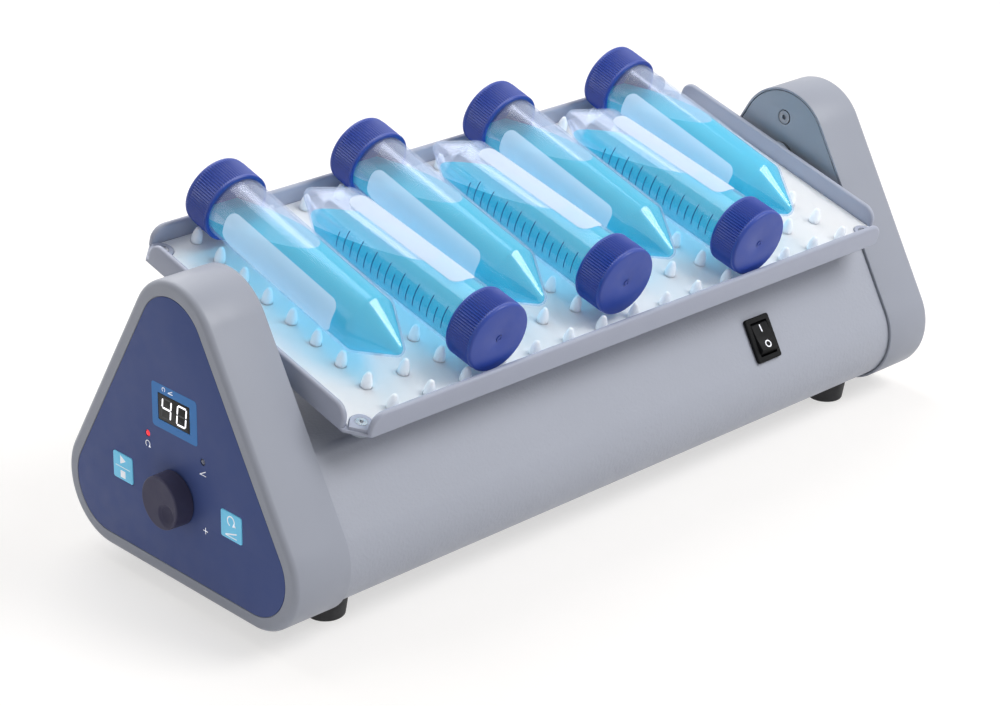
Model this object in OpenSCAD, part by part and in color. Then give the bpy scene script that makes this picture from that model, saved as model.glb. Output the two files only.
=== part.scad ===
// Digital tube rocker: two end housings, a sheet-metal body between them and a
// tray with a pegged mat that rocks about a lengthwise axis. Units: millimetres.
// X runs along the length with the control panel at -X, +Y is the rear, Z is up
// from the surface that the feet stand on.

/* [Overall] */
// Length over the two end housings
overall_l = 430; // [400:1:480]
// Depth of the left housing, from its face to the tray side of its end plate
left_depth = 31; // [30:0.5:40]
// Depth of the right housing, from its face to the tray side of its end plate
right_depth = 30.8; // [28:0.1:40]
// Radius of the profile's top corner
apex_r = 28.9; // [26:0.1:34]
// Radius of the profile's two bottom corners
base_r = 28.9; // [26:0.1:34]
// Half the distance between the centres of the bottom corners
base_half = 51.5; // [48:0.5:64]
// Height of the top corner's centre over the bottom corners' centres
apex_rise = 86.8; // [80:0.1:104]
// Clear height under the housings
foot_h = 8.3; // [7:0.1:14]
// How far the body's sheet lies inside the housings' outline
body_inset = 1.7; // [1.6:0.1:3]

/* [Housings] */
// Wall of the housings
wall = 3; // [2.5:0.1:3.6]
// Thickness of the housings' outer face
face_wall = 3; // [2.5:0.1:3.6]
// Rounding of the outer edge
face_round = 3; // [1.5:0.1:4]
// Width of the plain rim around the control panel film
rim_w = 6.9; // [4.5:0.1:8]
// Thickness of the control panel film
film_t = 0.5; // [0.3:0.1:0.8]

/* [End plates] */
// Thickness of the end plates' visible edge
plate_t = 1.6; // [1.2:0.1:2.5]
// Thickness of the housing's edge round an end plate
lip_t = 1.2; // [1:0.1:1.4]
// Width of the shadow gap round an end plate
plate_gap = 0.4; // [0.3:0.05:0.5]
// Length of the tongue behind an end plate's visible part
spigot_l = 3; // [2.5:0.1:4]
// Height of the top plate screw over the top corner's centre
top_screw_up = 13.4; // [10:0.1:15]

/* [Body] */
// Thickness of the sheet metal
sheet_t = 1.5; // [1:0.1:2]
// Height of the deck under the tray
deck_h = 84; // [78:0.5:88]
// Outside radius of the bend between front panel and deck
bend_r = 6; // [3:0.5:8]
// Width of the lips under the base plate, from the bottom corner's centre inwards
lip_w = 12; // [10:0.5:20]
// Distance of the left feet from the left end plate
left_foot_in = 11; // [11:0.5:30]
// Distance of the right feet from the right end plate
right_foot_in = 13; // [11:0.5:30]
// Distance of the feet from the middle, along Y
foot_y = 50.5; // [44:0.5:54]
// Radius of the feet at the top
foot_top_r = 10.5; // [9:0.1:13]
// Radius of the feet at the bottom
foot_low_r = 9; // [8:0.1:11]

/* [Tray] */
// Height of the rocking axis
pivot_h = 116; // [110:0.5:128]
// Tilt at which the tray is drawn, front edge down
tilt_rest = 15.5; // [0:0.5:20]
// Gap between the left end plate and the tray
left_gap = 7; // [4.2:0.1:9]
// Gap between the right end plate and the tray
right_gap = 4.2; // [4:0.1:9]
// Width of the tray over its flanges
tray_w = 157.6; // [150:0.1:164]
// Thickness of the tray's floor
floor_t = 1.5; // [1:0.1:2]
// Depth of the floor's underside under the rocking axis
floor_drop = 2.4; // [2:0.1:4]
// Height of the flanges over the floor's underside
flange_h = 11.6; // [9:0.1:16]
// Thickness of the hemmed flanges
flange_t = 3; // [2:0.1:3.6]
// Radius of the flanges' top corners
flange_r = 7; // [4:0.5:8]
// Length cut off each corner of the floor
corner_cut = 9; // [8:0.1:12]
// Distance of the corner screws from the tray's ends
tab_x = 9.6; // [9:0.1:11]
// Distance of the corner screws from the tray's sides
tab_y = 8.4; // [8:0.1:10]
// Height of the corner tabs over the floor's underside
tab_t = 3; // [2.8:0.1:3.5]

/* [Mat] */
// Thickness of the mat
mat_t = 1.2; // [1:0.1:1.4]
// Number of peg columns along X
peg_cols = 15; // [15:1:15]
// Number of peg rows along Y
peg_rows = 9; // [9:1:9]
// Distance between columns
peg_dx = 21.5; // [20:0.1:22.5]
// Distance between rows
peg_dy = 17.3; // [16:0.1:17.8]
// Diameter of a peg at the mat
peg_d = 5.2; // [4:0.1:6]
// Height of a peg over the mat
peg_h = 7.8; // [6:0.1:9]
// Radius of a peg's tip
peg_tip_r = 1.4; // [1:0.1:1.8]

/* [Tubes] */
// Length of a closed tube
tube_l = 133; // [116:0.5:136]
// Outer radius of the tube under the cap
tube_r = 15.4; // [14:0.1:15.6]
// Outer radius of the tube where its cone begins
tube_low_r = 15; // [13.5:0.1:15.2]
// Distance from the cap's face to the cone
shoulder = 110.5; // [94:0.5:112]
// Radius of the tip
tip_r = 4; // [3:0.1:5]
// Wall of the tube
tube_wall = 1.1; // [0.9:0.1:1.4]
// Radius of the cap over its ribs
cap_r = 17.4; // [17:0.05:17.7]
// Height of the cap
cap_h = 16; // [12:0.1:17]
// Number of ribs around the cap
cap_ribs = 54; // [36:1:72]
// Depth of the ribs
rib_d = 0.4; // [0.2:0.05:0.6]

/* [Drive] */
// Gear module
gear_m = 1; // [0.9:0.05:1.1]
// Number of teeth of the motor pinion
pinion_n = 18; // [18:1:20]
// Number of teeth that the whole circle of the sector would have
sector_n = 108; // [104:1:114]
// Teeth on the sector
sector_teeth = 17; // [15:2:19]
// Width of the sector gear
sector_w = 5; // [4:0.1:6]
// Width of the pinion
pinion_w = 7; // [6:0.1:8]
// Play between the teeth, measured along the pitch circle
backlash = 0.24; // [0.16:0.02:0.3]
// Diameter of the trunnions
axle_d = 8; // [7:0.1:9]
// Size of the square motor
motor_w = 42.3; // [38:0.1:43]
// Length of the motor
motor_l = 34; // [28:0.5:48]
// Diameter of the motor shaft
motor_shaft_d = 5; // [4:0.1:6]

/* [Control panel] */
// Height of the display's centre
display_z = 92.4; // [90:0.1:98]
// Width and height of the display window
window_w = 21.8; // [18:0.1:24]
// Height of the display window
window_h = 12.4; // [10:0.1:14]
// Height of the indicator lamps
led_z = 76; // [72:0.1:79]
// Distance of the lamps from the middle
led_y = 19.3; // [17:0.1:24]
// Height of the keys' centres
key_z = 52.3; // [50:0.1:56]
// Distance of the keys' centres from the middle
key_y = 38.2; // [36:0.1:41]
// Width and height of a key
key_w = 14; // [12:0.1:15]
// Height of a key
key_h = 13; // [11:0.1:14]
// Height of the knob's axis
knob_z = 52; // [50:0.1:56]
// Radius of the knob
knob_r = 12.6; // [11:0.1:14]
// Height of the knob over the film
knob_h = 9.6; // [9:0.1:14]
// Radius of the finger dimple at the knob's face
dimple_r = 5.2; // [4:0.1:6]
// Distance of the dimple from the knob's axis
dimple_off = 6.6; // [5.5:0.1:7]
// Direction of the dimple as one faces the panel
dimple_a = 220; // [0:5:355]

/* [Power] */
// Place of the power switch along X
switch_x = 93.3; // [60:0.1:140]
// Height of the power switch
switch_z = 61; // [54:0.1:66]
// Width and length of the switch bezel
switch_w = 17; // [15:0.1:20]
// Length of the switch's bezel
switch_l = 22.5; // [20:0.1:26]
// Swing of the rocker to each side of its middle
rocker_swing = 10; // [6:0.5:12]
// Place of the power inlet along X
inlet_x = 120; // [90:0.5:150]
// Height of the power inlet
inlet_z = 54; // [48:0.5:60]

/* [Clearances] */
// Radial play of a shaft in its bush
run_fit = 0.05; // [0.03:0.01:0.08]
// Gap all round a piece that drops into an opening
drop_fit = 0.2; // [0.1:0.05:0.3]
// Gap between a tube and the pegs that carry it
seat_gap = 0.3; // [0.2:0.05:0.4]

/* [Hidden] */

arc_n = 12;
eps = 0.01;

// Ends of the housings and the tray sides of the end plates
x_left = -overall_l / 2;
x_right = overall_l / 2;
plate_left = x_left + left_depth;
plate_right = x_right - right_depth;
body_l = plate_right - plate_left;
// Whole thickness of an end plate, and how far it lies inside the housings' outline
plate_full = plate_t + spigot_l;
plate_inset = lip_t + plate_gap;

// Profile: heights of the corner centres and direction of the sloping sides
base_z = foot_h + base_r;
body_z = foot_h + body_inset;
apex_z = base_z + apex_rise;
slope_len = norm([base_half, apex_rise]);
slope_a = atan2(-apex_rise, base_half) + acos((apex_r - base_r) / slope_len);

// Tray
tray_xa = plate_left + left_gap;
tray_xb = plate_right - right_gap;
tray_l = tray_xb - tray_xa;
tray_cx = (tray_xa + tray_xb) / 2;
floor_n = -floor_drop;
mat_n = floor_n + floor_t;
mat_top = mat_n + mat_t;
tray_half = tray_w / 2;
tab_r = 5;
bracket_t = 2;
lug_t = 2;
lug_r = 8.5;
collar_r = 6.5;
pin_r = 3;
axial_play = 0.4;

// Trunnion bushes
bush_r = 6;
bush_lip_r = 8;
bush_lip_t = 0.8;
boss_r = 10;
boss_l = 4.4;
bush_l = plate_full + boss_l;

// Control panel, measured from the left housing's face inwards
film_x = x_left + 0.1;
recess_x = film_x + film_t;
face_in_x = x_left + face_wall;
board_x = face_in_x + 6;
board_t = 1.6;
screw_r = 2;
head_r = 3.5;
head_t = 2.3;
screw_l = 11.5;

// Drive: the pinion sits straight under the rocking axis
centre_d = gear_m * (pinion_n + sector_n) / 2;
motor_z = pivot_h - centre_d;
drive_ratio = sector_n / pinion_n;
gear_gap = 3;
gear_x = plate_left - plate_full - boss_l - gear_gap;
hub_r = 9;
pinion_hub_r = 6;
pinion_hub_l = 5;
motor_pilot_r = 11;
motor_hole = 15.5;
shaft_end_x = gear_x - sector_w - 1.5;

// Tubes: the caps and the lower ends rest on two columns of pegs
cap_top_t = 2;
tube_sides = [1, -1, 1, -1, 1, -1, 1];
cap_face = [74.4, 73.5, 74.4, 68.2, 74.4, 74.2, 74.4];
cap_row = 4;
low_row = 2;
tube_angle = atan((seat_n(cap_r) - seat_n(tube_low_r)) / ((cap_row + low_row) * peg_dy));
// A cap's face stays clear of the flange behind it, however wide the caps are
cap_v = [for (v = cap_face) min(v, tray_half - flange_t - 0.3 - cap_r * sin(tube_angle))];
level_at = [63, 88, 63, 88, 63, 88, 63];

// ---- outlines and helpers ------------------------------------------------

// Points along an arc from angle a0 to angle a1
function arc(c, r, a0, a1, n = arc_n) =
    [for (i = [0:n]) let (a = a0 + (a1 - a0) * i / n) c + r * [cos(a), sin(a)]];

// Rounded triangle of the housings, drawn smaller by inset; y then z
function profile(inset = 0) = concat(
    arc([0, apex_z], apex_r - inset, slope_a, 180 - slope_a),
    arc([-base_half, base_z], base_r - inset, 180 - slope_a, 270),
    arc([base_half, base_z], base_r - inset, -90, slope_a));

// Half width of the profile's sloping side at height z
function side_y(z, inset = 0) =
    (apex_r - inset - (z - apex_z) * sin(slope_a)) / cos(slope_a);

// Height of a resting cylinder's axis over the rocking axis, between two pegs
function seat_n(r) = mat_top + peg_h - peg_tip_r
    + sqrt(pow(r + peg_tip_r + seat_gap, 2) - pow(peg_dx / 2, 2));

// Height of a tube's axis at distance v from the tray's middle, cap side positive
function axis_n(v) = seat_n(cap_r) + (v - cap_row * peg_dy) * tan(tube_angle);

// Extrudes a y-z outline along X
module along_x(x, l) {
    translate([x, 0, 0]) rotate([90, 0, 90]) linear_extrude(l) children();
}

// Turns a revolved shape drawn along Z so that it runs along +X from x
module turned_x(x, y = 0, z = 0) {
    translate([x, y, z]) rotate([0, 90, 0]) children();
}

// Cylinder along X
module rod(x, l, r, y = 0, z = 0, fn = 48) {
    turned_x(x, y, z) cylinder(h = l, r = r, $fn = fn);
}

// Local frame on the sloping front panel: X along the body, Y up, Z outwards
module on_front(x, z) {
    translate([x, -side_y(z, body_inset), z]) rotate([90 - slope_a, 0, 0]) children();
}

// The same on the rear panel
module on_rear(x, z) {
    rotate([0, 0, 180]) on_front(-x, z) children();
}

// Frame of the tray: origin on the rocking axis, Z square to the tray's floor
module in_tray() {
    translate([0, 0, pivot_h]) rotate([tilt_rest, 0, 0]) children();
}

module rounded_rect(w, h, r) {
    hull()
        for (x = [-1, 1], y = [-1, 1])
            translate([x * (w / 2 - r), y * (h / 2 - r)]) circle(r, $fn = 24);
}

// Solid of the profile from x = 0 to x = d, with its edge at x = 0 rounded
module rounded_block(d) {
    steps = concat([for (i = [0:4]) let (a = 90 * i / 4)
        [face_round * (1 - cos(a)), face_round * (1 - sin(a))]], [[d, 0]]);
    n = len(profile());
    polyhedron(
        points = [for (s = steps) each [for (p = profile(s[1])) [s[0], p[0], p[1]]]],
        faces = concat(
            [[for (i = [0:n - 1]) i]],
            [for (k = [0:len(steps) - 2], i = [0:n - 1])
                let (j = (i + 1) % n) [k * n + i, (k + 1) * n + i, (k + 1) * n + j, k * n + j]],
            [[for (i = [n - 1:-1:0]) (len(steps) - 1) * n + i]]));
}

// Places of the screws that hold an end plate to its housing
plate_screws = [[0, apex_z + top_screw_up], [-base_half, base_z], [base_half, base_z]];
// Places of the screws that hold the base plate to an end plate
tab_screws = [[-36, body_z + 20], [36, body_z + 20]];

// Hollow housing of depth d, with a rebate round its open side for the end plate
module housing(d) {
    difference() {
        rounded_block(d);
        along_x(face_wall, d) polygon(profile(wall));
        along_x(d - plate_t, plate_t + 1) polygon(profile(lip_t));
    }
    for (p = plate_screws)
        difference() {
            rod(face_wall - 0.5, d - plate_full - face_wall + 0.5, 4.5, p[0], p[1]);
            rod(d - plate_full - 10, 11, screw_r + 0.02, p[0], p[1]);
        }
}

// ---- housings and end plates ---------------------------------------------

// Centre and width of the wires' passage through the left end plate, y then z
wire_hole = [-37, 69];
wire_hole_w = 14;
board_posts = [[-18, 100], [18, 100], [-24, 45], [24, 45]];

module left_housing() color("#9b9fa8") {
    difference() {
        translate([x_left, 0, 0]) housing(left_depth);
        along_x(x_left - 1, recess_x - x_left + 1) polygon(profile(rim_w));
        along_x(x_left, face_wall + 1) {
            translate([0, display_z]) square([window_w + 0.8, window_h + 0.8], center = true);
            for (s = [-1, 1])
                translate([s * key_y, key_z]) rounded_rect(key_w + 2 * drop_fit, key_h + 2 * drop_fit, 1.2);
        }
        for (s = [-1, 1])
            rod(x_left, face_wall + 1, 1.65, s * led_y, led_z);
        rod(x_left, face_wall + 1, 3.6, 0, knob_z);
    }
    for (p = board_posts)
        rod(face_in_x - 0.5, board_x - face_in_x + 0.5, 3, p[0], p[1]);
}

module right_housing() color("#9b9fa8")
    translate([x_right, 0, 0]) rotate([0, 0, 180]) housing(right_depth);

// End plate with its tray side at x = 0 and its spigot towards -X
module end_plate() {
    difference() {
        union() {
            along_x(-plate_t, plate_t) polygon(profile(plate_inset));
            along_x(-plate_full, spigot_l) polygon(profile(wall + drop_fit));
            rod(-bush_l, boss_l, boss_r, 0, pivot_h);
            for (p = tab_screws)
                rod(-plate_full - 6, 6, 4.5, p[0], p[1]);
        }
        rod(-bush_l - 1, bush_l + 2, bush_r, 0, pivot_h);
        for (p = plate_screws) {
            rod(-plate_full - 1, plate_full + 2, screw_r + 0.15, p[0], p[1]);
            rod(-head_t - drop_fit, head_t + 1, head_r + 0.5, p[0], p[1]);
        }
        for (p = tab_screws)
            rod(-plate_full - 7, plate_full + 8, screw_r + 0.02, p[0], p[1]);
        children();
    }
}

module left_end_plate() color("#8e939d")
    translate([plate_left, 0, 0]) end_plate() {
        union() {
            rod(-plate_full - 1, plate_full + 2, motor_pilot_r + 0.1, 0, motor_z);
            for (y = [-1, 1], z = [-1, 1])
                rod(-plate_full - 1, plate_full + 2, 1.6, y * motor_hole, motor_z + z * motor_hole);
            // Passage for the wires between the body and the control board
            along_x(-plate_full - 1, plate_full + 2) translate(wire_hole) square(wire_hole_w, center = true);
        }
    }

module right_end_plate() color("#8e939d")
    translate([plate_right, 0, 0]) rotate([0, 0, 180]) end_plate();

// Cap screw along +X with its head's outer face at x = 0
module cap_screw(l, r = screw_r, hr = head_r, ht = head_t) {
    difference() {
        union() {
            rod(0, ht, hr);
            rod(ht - 0.2, l + 0.2, r);
        }
        turned_x(-1) cylinder(h = 1 + ht * 0.6, r = r * 0.72, $fn = 6);
    }
}

module end_plate_screws() color("#6f737b")
    for (p = plate_screws) {
        translate([plate_left - drop_fit, p[0], p[1]]) mirror([1, 0, 0]) cap_screw(screw_l);
        translate([plate_right + drop_fit, p[0], p[1]]) cap_screw(screw_l);
    }

// ---- body -----------------------------------------------------------------

bend_z = deck_h - bend_r;
bend_y = side_y(bend_z, body_inset + bend_r);

// Half of the body's outline at depth t under its outer surface, from lip to deck
function body_half(t) = concat(
    [[lip_w - base_half, body_z + t]],
    arc([-base_half, base_z], base_r - body_inset - t, 270, 180 - slope_a),
    arc([-bend_y, bend_z], bend_r - t, 180 - slope_a, 90, 6));

function mirrored(pts) = [for (i = [len(pts) - 1:-1:0]) [-pts[i][0], pts[i][1]]];
function body_path(t) = concat(body_half(t), mirrored(body_half(t)));
function reversed(pts) = [for (i = [len(pts) - 1:-1:0]) pts[i]];

foot_places = [for (x = [plate_left + left_foot_in, plate_right - right_foot_in], y = [-foot_y, foot_y]) [x, y]];

module body_cover() color("#9ea2aa") difference() {
    along_x(plate_left, body_l) polygon(concat(body_path(0), reversed(body_path(sheet_t))));
    for (p = foot_places)
        translate([p[0], p[1], body_z - 1]) cylinder(h = sheet_t + 2, r = screw_r + 0.15, $fn = 32);
    on_front(switch_x, switch_z)
        cube([switch_w - 3.4, switch_l - 3.4, 10], center = true);
    on_rear(inlet_x, inlet_z)
        cube([27.4, 20.4, 10], center = true);
}

tab_w = 14;
tab_h = 26;
post_h = 6;
// Corners of the power board, which stands on four posts of the base plate
power_x = 60;
power_l = 90;
power_w = 56;
power_posts = [for (x = [-1, 1], y = [-1, 1])
    [power_x + x * (power_l / 2 - 5), y * (power_w / 2 - 5)]];
base_top = body_z + 2 * sheet_t;

module base_plate() color("#a9adb3") difference() {
    union() {
        translate([plate_left, -base_half + drop_fit, body_z + sheet_t])
            cube([body_l, 2 * (base_half - drop_fit), sheet_t]);
        for (x = [plate_left, plate_right - sheet_t], p = tab_screws)
            translate([x, p[0] - tab_w / 2, body_z + sheet_t]) cube([sheet_t, tab_w, tab_h]);
        for (p = foot_places)
            translate([p[0], p[1], base_top - 0.5]) cylinder(h = 3.7, r = 4, $fn = 32);
        for (p = power_posts)
            translate([p[0], p[1], base_top - 0.5]) cylinder(h = post_h + 0.5, r = 3, $fn = 24);
    }
    for (p = foot_places)
        translate([p[0], p[1], body_z]) cylinder(h = 12, r = screw_r + 0.02, $fn = 32);
    for (p = tab_screws)
        rod(plate_left - 1, body_l + 2, screw_r + 0.15, p[0], p[1]);
}

foot_head_z = 3.2;

module feet() color("#1d1e20")
    for (p = foot_places) translate([p[0], p[1], 0])
        rotate_extrude($fn = 48) polygon([
            [head_r + 0.5, 0], [foot_low_r - 1, 0], [foot_low_r, 1], [foot_top_r, body_z],
            [screw_r + 0.2, body_z], [screw_r + 0.2, foot_head_z + head_t],
            [head_r + 0.5, foot_head_z + head_t]]);

module chassis_screws() color("#6f737b") {
    for (p = foot_places)
        translate([p[0], p[1], foot_head_z]) rotate([0, -90, 0]) cap_screw(screw_l);
    for (p = tab_screws) {
        translate([plate_left + sheet_t + head_t, p[0], p[1]]) mirror([1, 0, 0]) cap_screw(screw_l);
        translate([plate_right - sheet_t - head_t, p[0], p[1]]) cap_screw(screw_l);
    }
}

// ---- control panel ----------------------------------------------------------

module panel_film() color("#3c4676") difference() {
    along_x(film_x, film_t) difference() {
        polygon(profile(rim_w + drop_fit));
        translate([0, display_z]) square([window_w + 0.2, window_h + 0.2], center = true);
        for (s = [-1, 1])
            translate([s * key_y, key_z]) rounded_rect(key_w + 2 * drop_fit, key_h + 2 * drop_fit, 1.2);
    }
    for (s = [-1, 1]) rod(film_x - 1, film_t + 2, 1.6, s * led_y, led_z);
    rod(film_x - 1, film_t + 2, 3.6, 0, knob_z);
}

module display_window() color("#101216")
    along_x(film_x, face_wall - 1.1)
        translate([0, display_z]) square([window_w, window_h], center = true);

module display_module() color("#26282c") {
    along_x(face_in_x - 1, 1.1)
        translate([0, display_z]) square([window_w - 0.6, window_h - 0.6], center = true);
    along_x(face_in_x, board_x - face_in_x)
        translate([0, display_z]) square([25, 15], center = true);
}

// Round lamp with a domed end at the face of the panel
module panel_led() {
    led_r = 1.5;
    lens_x = film_x - 0.3;
    turned_x(board_x) mirror([0, 0, 1]) rotate_extrude($fn = 32)
        polygon(concat([[0, 0], [1.9, 0], [1.9, 1], [led_r, 1]],
            arc([0, board_x - lens_x - led_r], led_r, 0, 90, 6)));
}

module speed_led() color("#e0202a") translate([0, led_y, led_z]) panel_led();
module tilt_led() color("#5a5f6e") translate([0, -led_y, led_z]) panel_led();

tact_h = 3.5;

// Board behind the panel, with the two key switches and the motor driver on it
module control_board() color("#1f6b45") {
    difference() {
        along_x(board_x, board_t) polygon([
            [-48, 40], [48, 40], [48, 62], [23, 105], [-23, 105], [-48, 62]]);
        for (p = board_posts) rod(board_x - 1, board_t + 2, 1.3, p[0], p[1]);
    }
    for (s = [-1, 1])
        along_x(board_x - tact_h, tact_h)
            translate([s * key_y, key_z]) square([6, 6], center = true);
    along_x(board_x - 1.2, 1.2) translate([0, 68]) square([9, 9], center = true);
}

encoder_bush_l = 4;

module encoder_body() color("#7d8188") difference() {
    union() {
        along_x(face_in_x, board_x - face_in_x) translate([0, knob_z]) square([12, 12], center = true);
        rod(x_left - encoder_bush_l + 2, face_wall + encoder_bush_l - 2 + 0.5, 3.5, 0, knob_z);
    }
    rod(x_left - encoder_bush_l, board_x - x_left + encoder_bush_l - 1.5, 3 + run_fit, 0, knob_z);
}

knob_x = film_x - 0.4;
shaft_in = 7;

module encoder_shaft() color("#b9bcc2")
    rod(knob_x - shaft_in, board_x - 2 - knob_x + shaft_in, 3, 0, knob_z);

module knob() color("#36363c") {
    top = knob_h - 0.4;
    edge = 1.1;
    ball_r = 6.4;
    ball_up = sqrt(pow(ball_r, 2) - pow(dimple_r, 2));
    translate([knob_x, 0, knob_z]) rotate([0, -90, 0]) difference() {
        rotate_extrude($fn = 64) polygon(concat(
            [[4.6, 0], [knob_r, 0]],
            arc([knob_r - 0.2 - edge, top - edge], edge, 0, 90, 5),
            [[0, top], [0, shaft_in], [3, shaft_in], [3, 3.4], [4.6, 3.4]]));
        // The dimple lies down and to the right as one faces the panel
        rotate([0, 0, dimple_a]) translate([dimple_off, 0, top + ball_up]) sphere(ball_r, $fn = 48);
    }
}

// Key cap with a flange behind the panel's wall and a stem over its switch
module key(y) {
    proud = 0.35;
    cap_x = film_x - proud;
    flange_x = face_in_x + 0.1;
    along_x(cap_x, flange_x - cap_x + 0.2) translate([y, key_z]) rounded_rect(key_w, key_h, 1);
    along_x(flange_x, 1) translate([y, key_z]) rounded_rect(key_w + 2.6, key_h + 2.6, 1);
    rod(flange_x, board_x - tact_h - 0.5 - flange_x, 1.75, y, key_z);
}

module run_stop_key() color("#5fb4dc") key(key_y);
module mode_key() color("#5fb4dc") key(-key_y);

// ---- power switch and inlet --------------------------------------------------

rocker_w = 11.2;
rocker_r = 8.4;
rocker_depth = -2;
bezel_t = 2;
well_w = rocker_w + 0.6;
well_l = 2 * rocker_r + 0.5;

module switch_housing() color("#1c1d1f") on_front(switch_x, switch_z) difference() {
    union() {
        linear_extrude(bezel_t) rounded_rect(switch_w, switch_l, 1);
        translate([0, 0, -7]) cube([switch_w - 4, switch_l - 4, 14.5], center = true);
    }
    cube([well_w, well_l, 18], center = true);
    translate([-well_w / 2 - 0.8, 0, rocker_depth]) rotate([0, 90, 0])
        cylinder(h = well_w + 1.6, r = 1 + run_fit, $fn = 24);
}

// Rocker with its upper end pressed in, which is the on position
module switch_rocker() color("#232427")
    on_front(switch_x, switch_z) translate([0, 0, rocker_depth]) rotate([-rocker_swing, 0, 0]) {
        rotate([90, 0, 90]) translate([0, 0, -rocker_w / 2]) linear_extrude(rocker_w)
            polygon(concat(
                arc([0, 0], rocker_r, -20, 30, 8),
                [[0, 2.9]],
                arc([0, 0], rocker_r, 150, 200, 8),
                [[-3, -4.6], [3, -4.6]]));
        translate([-rocker_w / 2 - 0.8, 0, 0]) rotate([0, 90, 0])
            cylinder(h = rocker_w + 1.6, r = 1, $fn = 24);
    }

inlet_t = 2.5;
inlet_deep = 18;

module inlet_opening() polygon([[-12, -8], [12, -8], [12, 4], [8, 8], [-8, 8], [-12, 4]]);

module power_inlet() color("#1c1d1f") on_rear(inlet_x, inlet_z) difference() {
    union() {
        linear_extrude(inlet_t) rounded_rect(31, 24, 2);
        translate([-13.5, -10, -inlet_deep]) cube([27, 20, inlet_deep + 0.5]);
    }
    translate([0, 0, -15]) linear_extrude(15 + inlet_t + 1) inlet_opening();
    inlet_blades(0.02);
}

module inlet_blades(grow = 0)
    for (p = [[-7, -1.5], [0, 2.5], [7, -1.5]])
        translate([p[0], p[1], -6]) cube([2 + 2 * grow, 4 + 2 * grow, 2 * (inlet_deep + 4 - 6)], center = true);

module inlet_pins() color("#c9ccd1")
    on_rear(inlet_x, inlet_z) intersection() {
        inlet_blades();
        translate([0, 0, -inlet_deep - 4]) cube([40, 40, 2 * (inlet_deep + 4 - 3)], center = true);
    }

// Power supply on the base plate's posts
module power_board() color("#2b7a4b") {
    z = base_top + post_h;
    translate([power_x - power_l / 2, -power_w / 2, z]) cube([power_l, power_w, 1.6]);
    translate([power_x - 30, -16, z + 1.5]) cube([30, 26, 20]);
    for (y = [-16, 4])
        translate([power_x + 18, y, z + 1.5]) cylinder(h = 22, r = 7, $fn = 32);
    translate([power_x + 30, -14, z + 1.5]) cube([8, 28, 12]);
}

// ---- drive ---------------------------------------------------------------------

function inv(a) = tan(a) * 180 / PI - a;
function polar(r, a) = r * [cos(a), sin(a)];

// Half the angle that a tooth fills at radius r of a gear with n teeth
function tooth_half(r, n) =
    let (pitch_r = gear_m * n / 2, base = pitch_r * cos(20))
    90 / n - backlash / 4 / pitch_r * 180 / PI + inv(20) - (r > base ? inv(acos(base / r)) : 0);

// Outline points of the tooth centred at angle a, from one root to the other
function tooth(n, a) =
    let (pitch_r = gear_m * n / 2, low = pitch_r - 1.25 * gear_m, high = pitch_r + gear_m,
         base = max(low, pitch_r * cos(20) + eps),
         radii = concat([low], [for (i = [0:4]) base + (high - base) * i / 4]))
    concat(
        [for (i = [0:5]) polar(radii[i], a - tooth_half(radii[i], n))],
        [for (i = [5:-1:0]) polar(radii[i], a + tooth_half(radii[i], n))]);

module stepper_motor() color("#33363b") translate([plate_left, 0, motor_z]) difference() {
    union() {
        for (seg = [[0, 8, 0], [8, motor_l - 17, 0.8], [motor_l - 9, 9, 0]])
            along_x(seg[0], seg[1]) motor_outline(seg[2]);
        rod(-2, 3, motor_pilot_r);
    }
    rod(-3, motor_l - 2, motor_shaft_d / 2 + run_fit);
    for (y = [-1, 1], z = [-1, 1])
        rod(-1, 7, 1.52, y * motor_hole, z * motor_hole);
}

// Square outline with cut corners, smaller by inset
module motor_outline(inset) intersection() {
    square(motor_w - 2 * inset, center = true);
    rotate(45) square(motor_w * 1.25 - 2 * inset, center = true);
}

module motor_screws() color("#6f737b")
    for (y = [-1, 1], z = [-1, 1])
        translate([plate_left - plate_full - 2, y * motor_hole, motor_z + z * motor_hole])
            cap_screw(plate_full + 5, 1.5, 2.75, 2);

module motor_shaft() color("#c9ccd1")
    rod(shaft_end_x, plate_left + motor_l - 6 - shaft_end_x, motor_shaft_d / 2, 0, motor_z);

// The pinion is turned so that its teeth stand in the gaps of the sector
pinion_phase = 90 + 180 / pinion_n - drive_ratio * tilt_rest;

module motor_pinion() color("#c79a4a") {
    x = gear_x - sector_w - (pinion_w - sector_w) / 2;
    translate([0, 0, motor_z]) difference() {
        union() {
            along_x(x, pinion_w)
                polygon([for (k = [0:pinion_n - 1]) each tooth(pinion_n, pinion_phase + 360 * k / pinion_n)]);
            rod(x + pinion_w - 0.5, pinion_hub_l + 0.5, pinion_hub_r);
        }
        rod(x - 1, pinion_w + pinion_hub_l + 2, motor_shaft_d / 2 + 0.01);
    }
}

// Toothed sector on the left trunnion, hanging square to the tray
module sector_gear() color("#c79a4a") in_tray() {
    half = (sector_teeth - 1) / 2;
    step = 360 / sector_n;
    root_r = gear_m * (sector_n / 2 - 1.25);
    end_a = (half + 0.7) * step;
    rim_in = root_r - 5;
    difference() {
        union() {
            along_x(gear_x - sector_w, sector_w) difference() {
                polygon(concat(
                    [for (k = [-half:half]) each tooth(sector_n, -90 + k * step)],
                    [polar(root_r, -90 + end_a)],
                    arc([0, 0], hub_r - 1, -10, 190, 16),
                    [polar(root_r, -90 - end_a)]));
                polygon(concat(
                    arc([0, 0], rim_in, -90 - end_a + 7, -90 + end_a - 7, 10),
                    arc([0, 0], hub_r + 5, -90 + 6, -90 - 6, 4)));
            }
            rod(gear_x - sector_w, sector_w + gear_gap - 0.5, hub_r);
        }
        rod(gear_x - sector_w - 1, sector_w + 6, axle_d / 2 + 0.01);
    }
}

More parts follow.
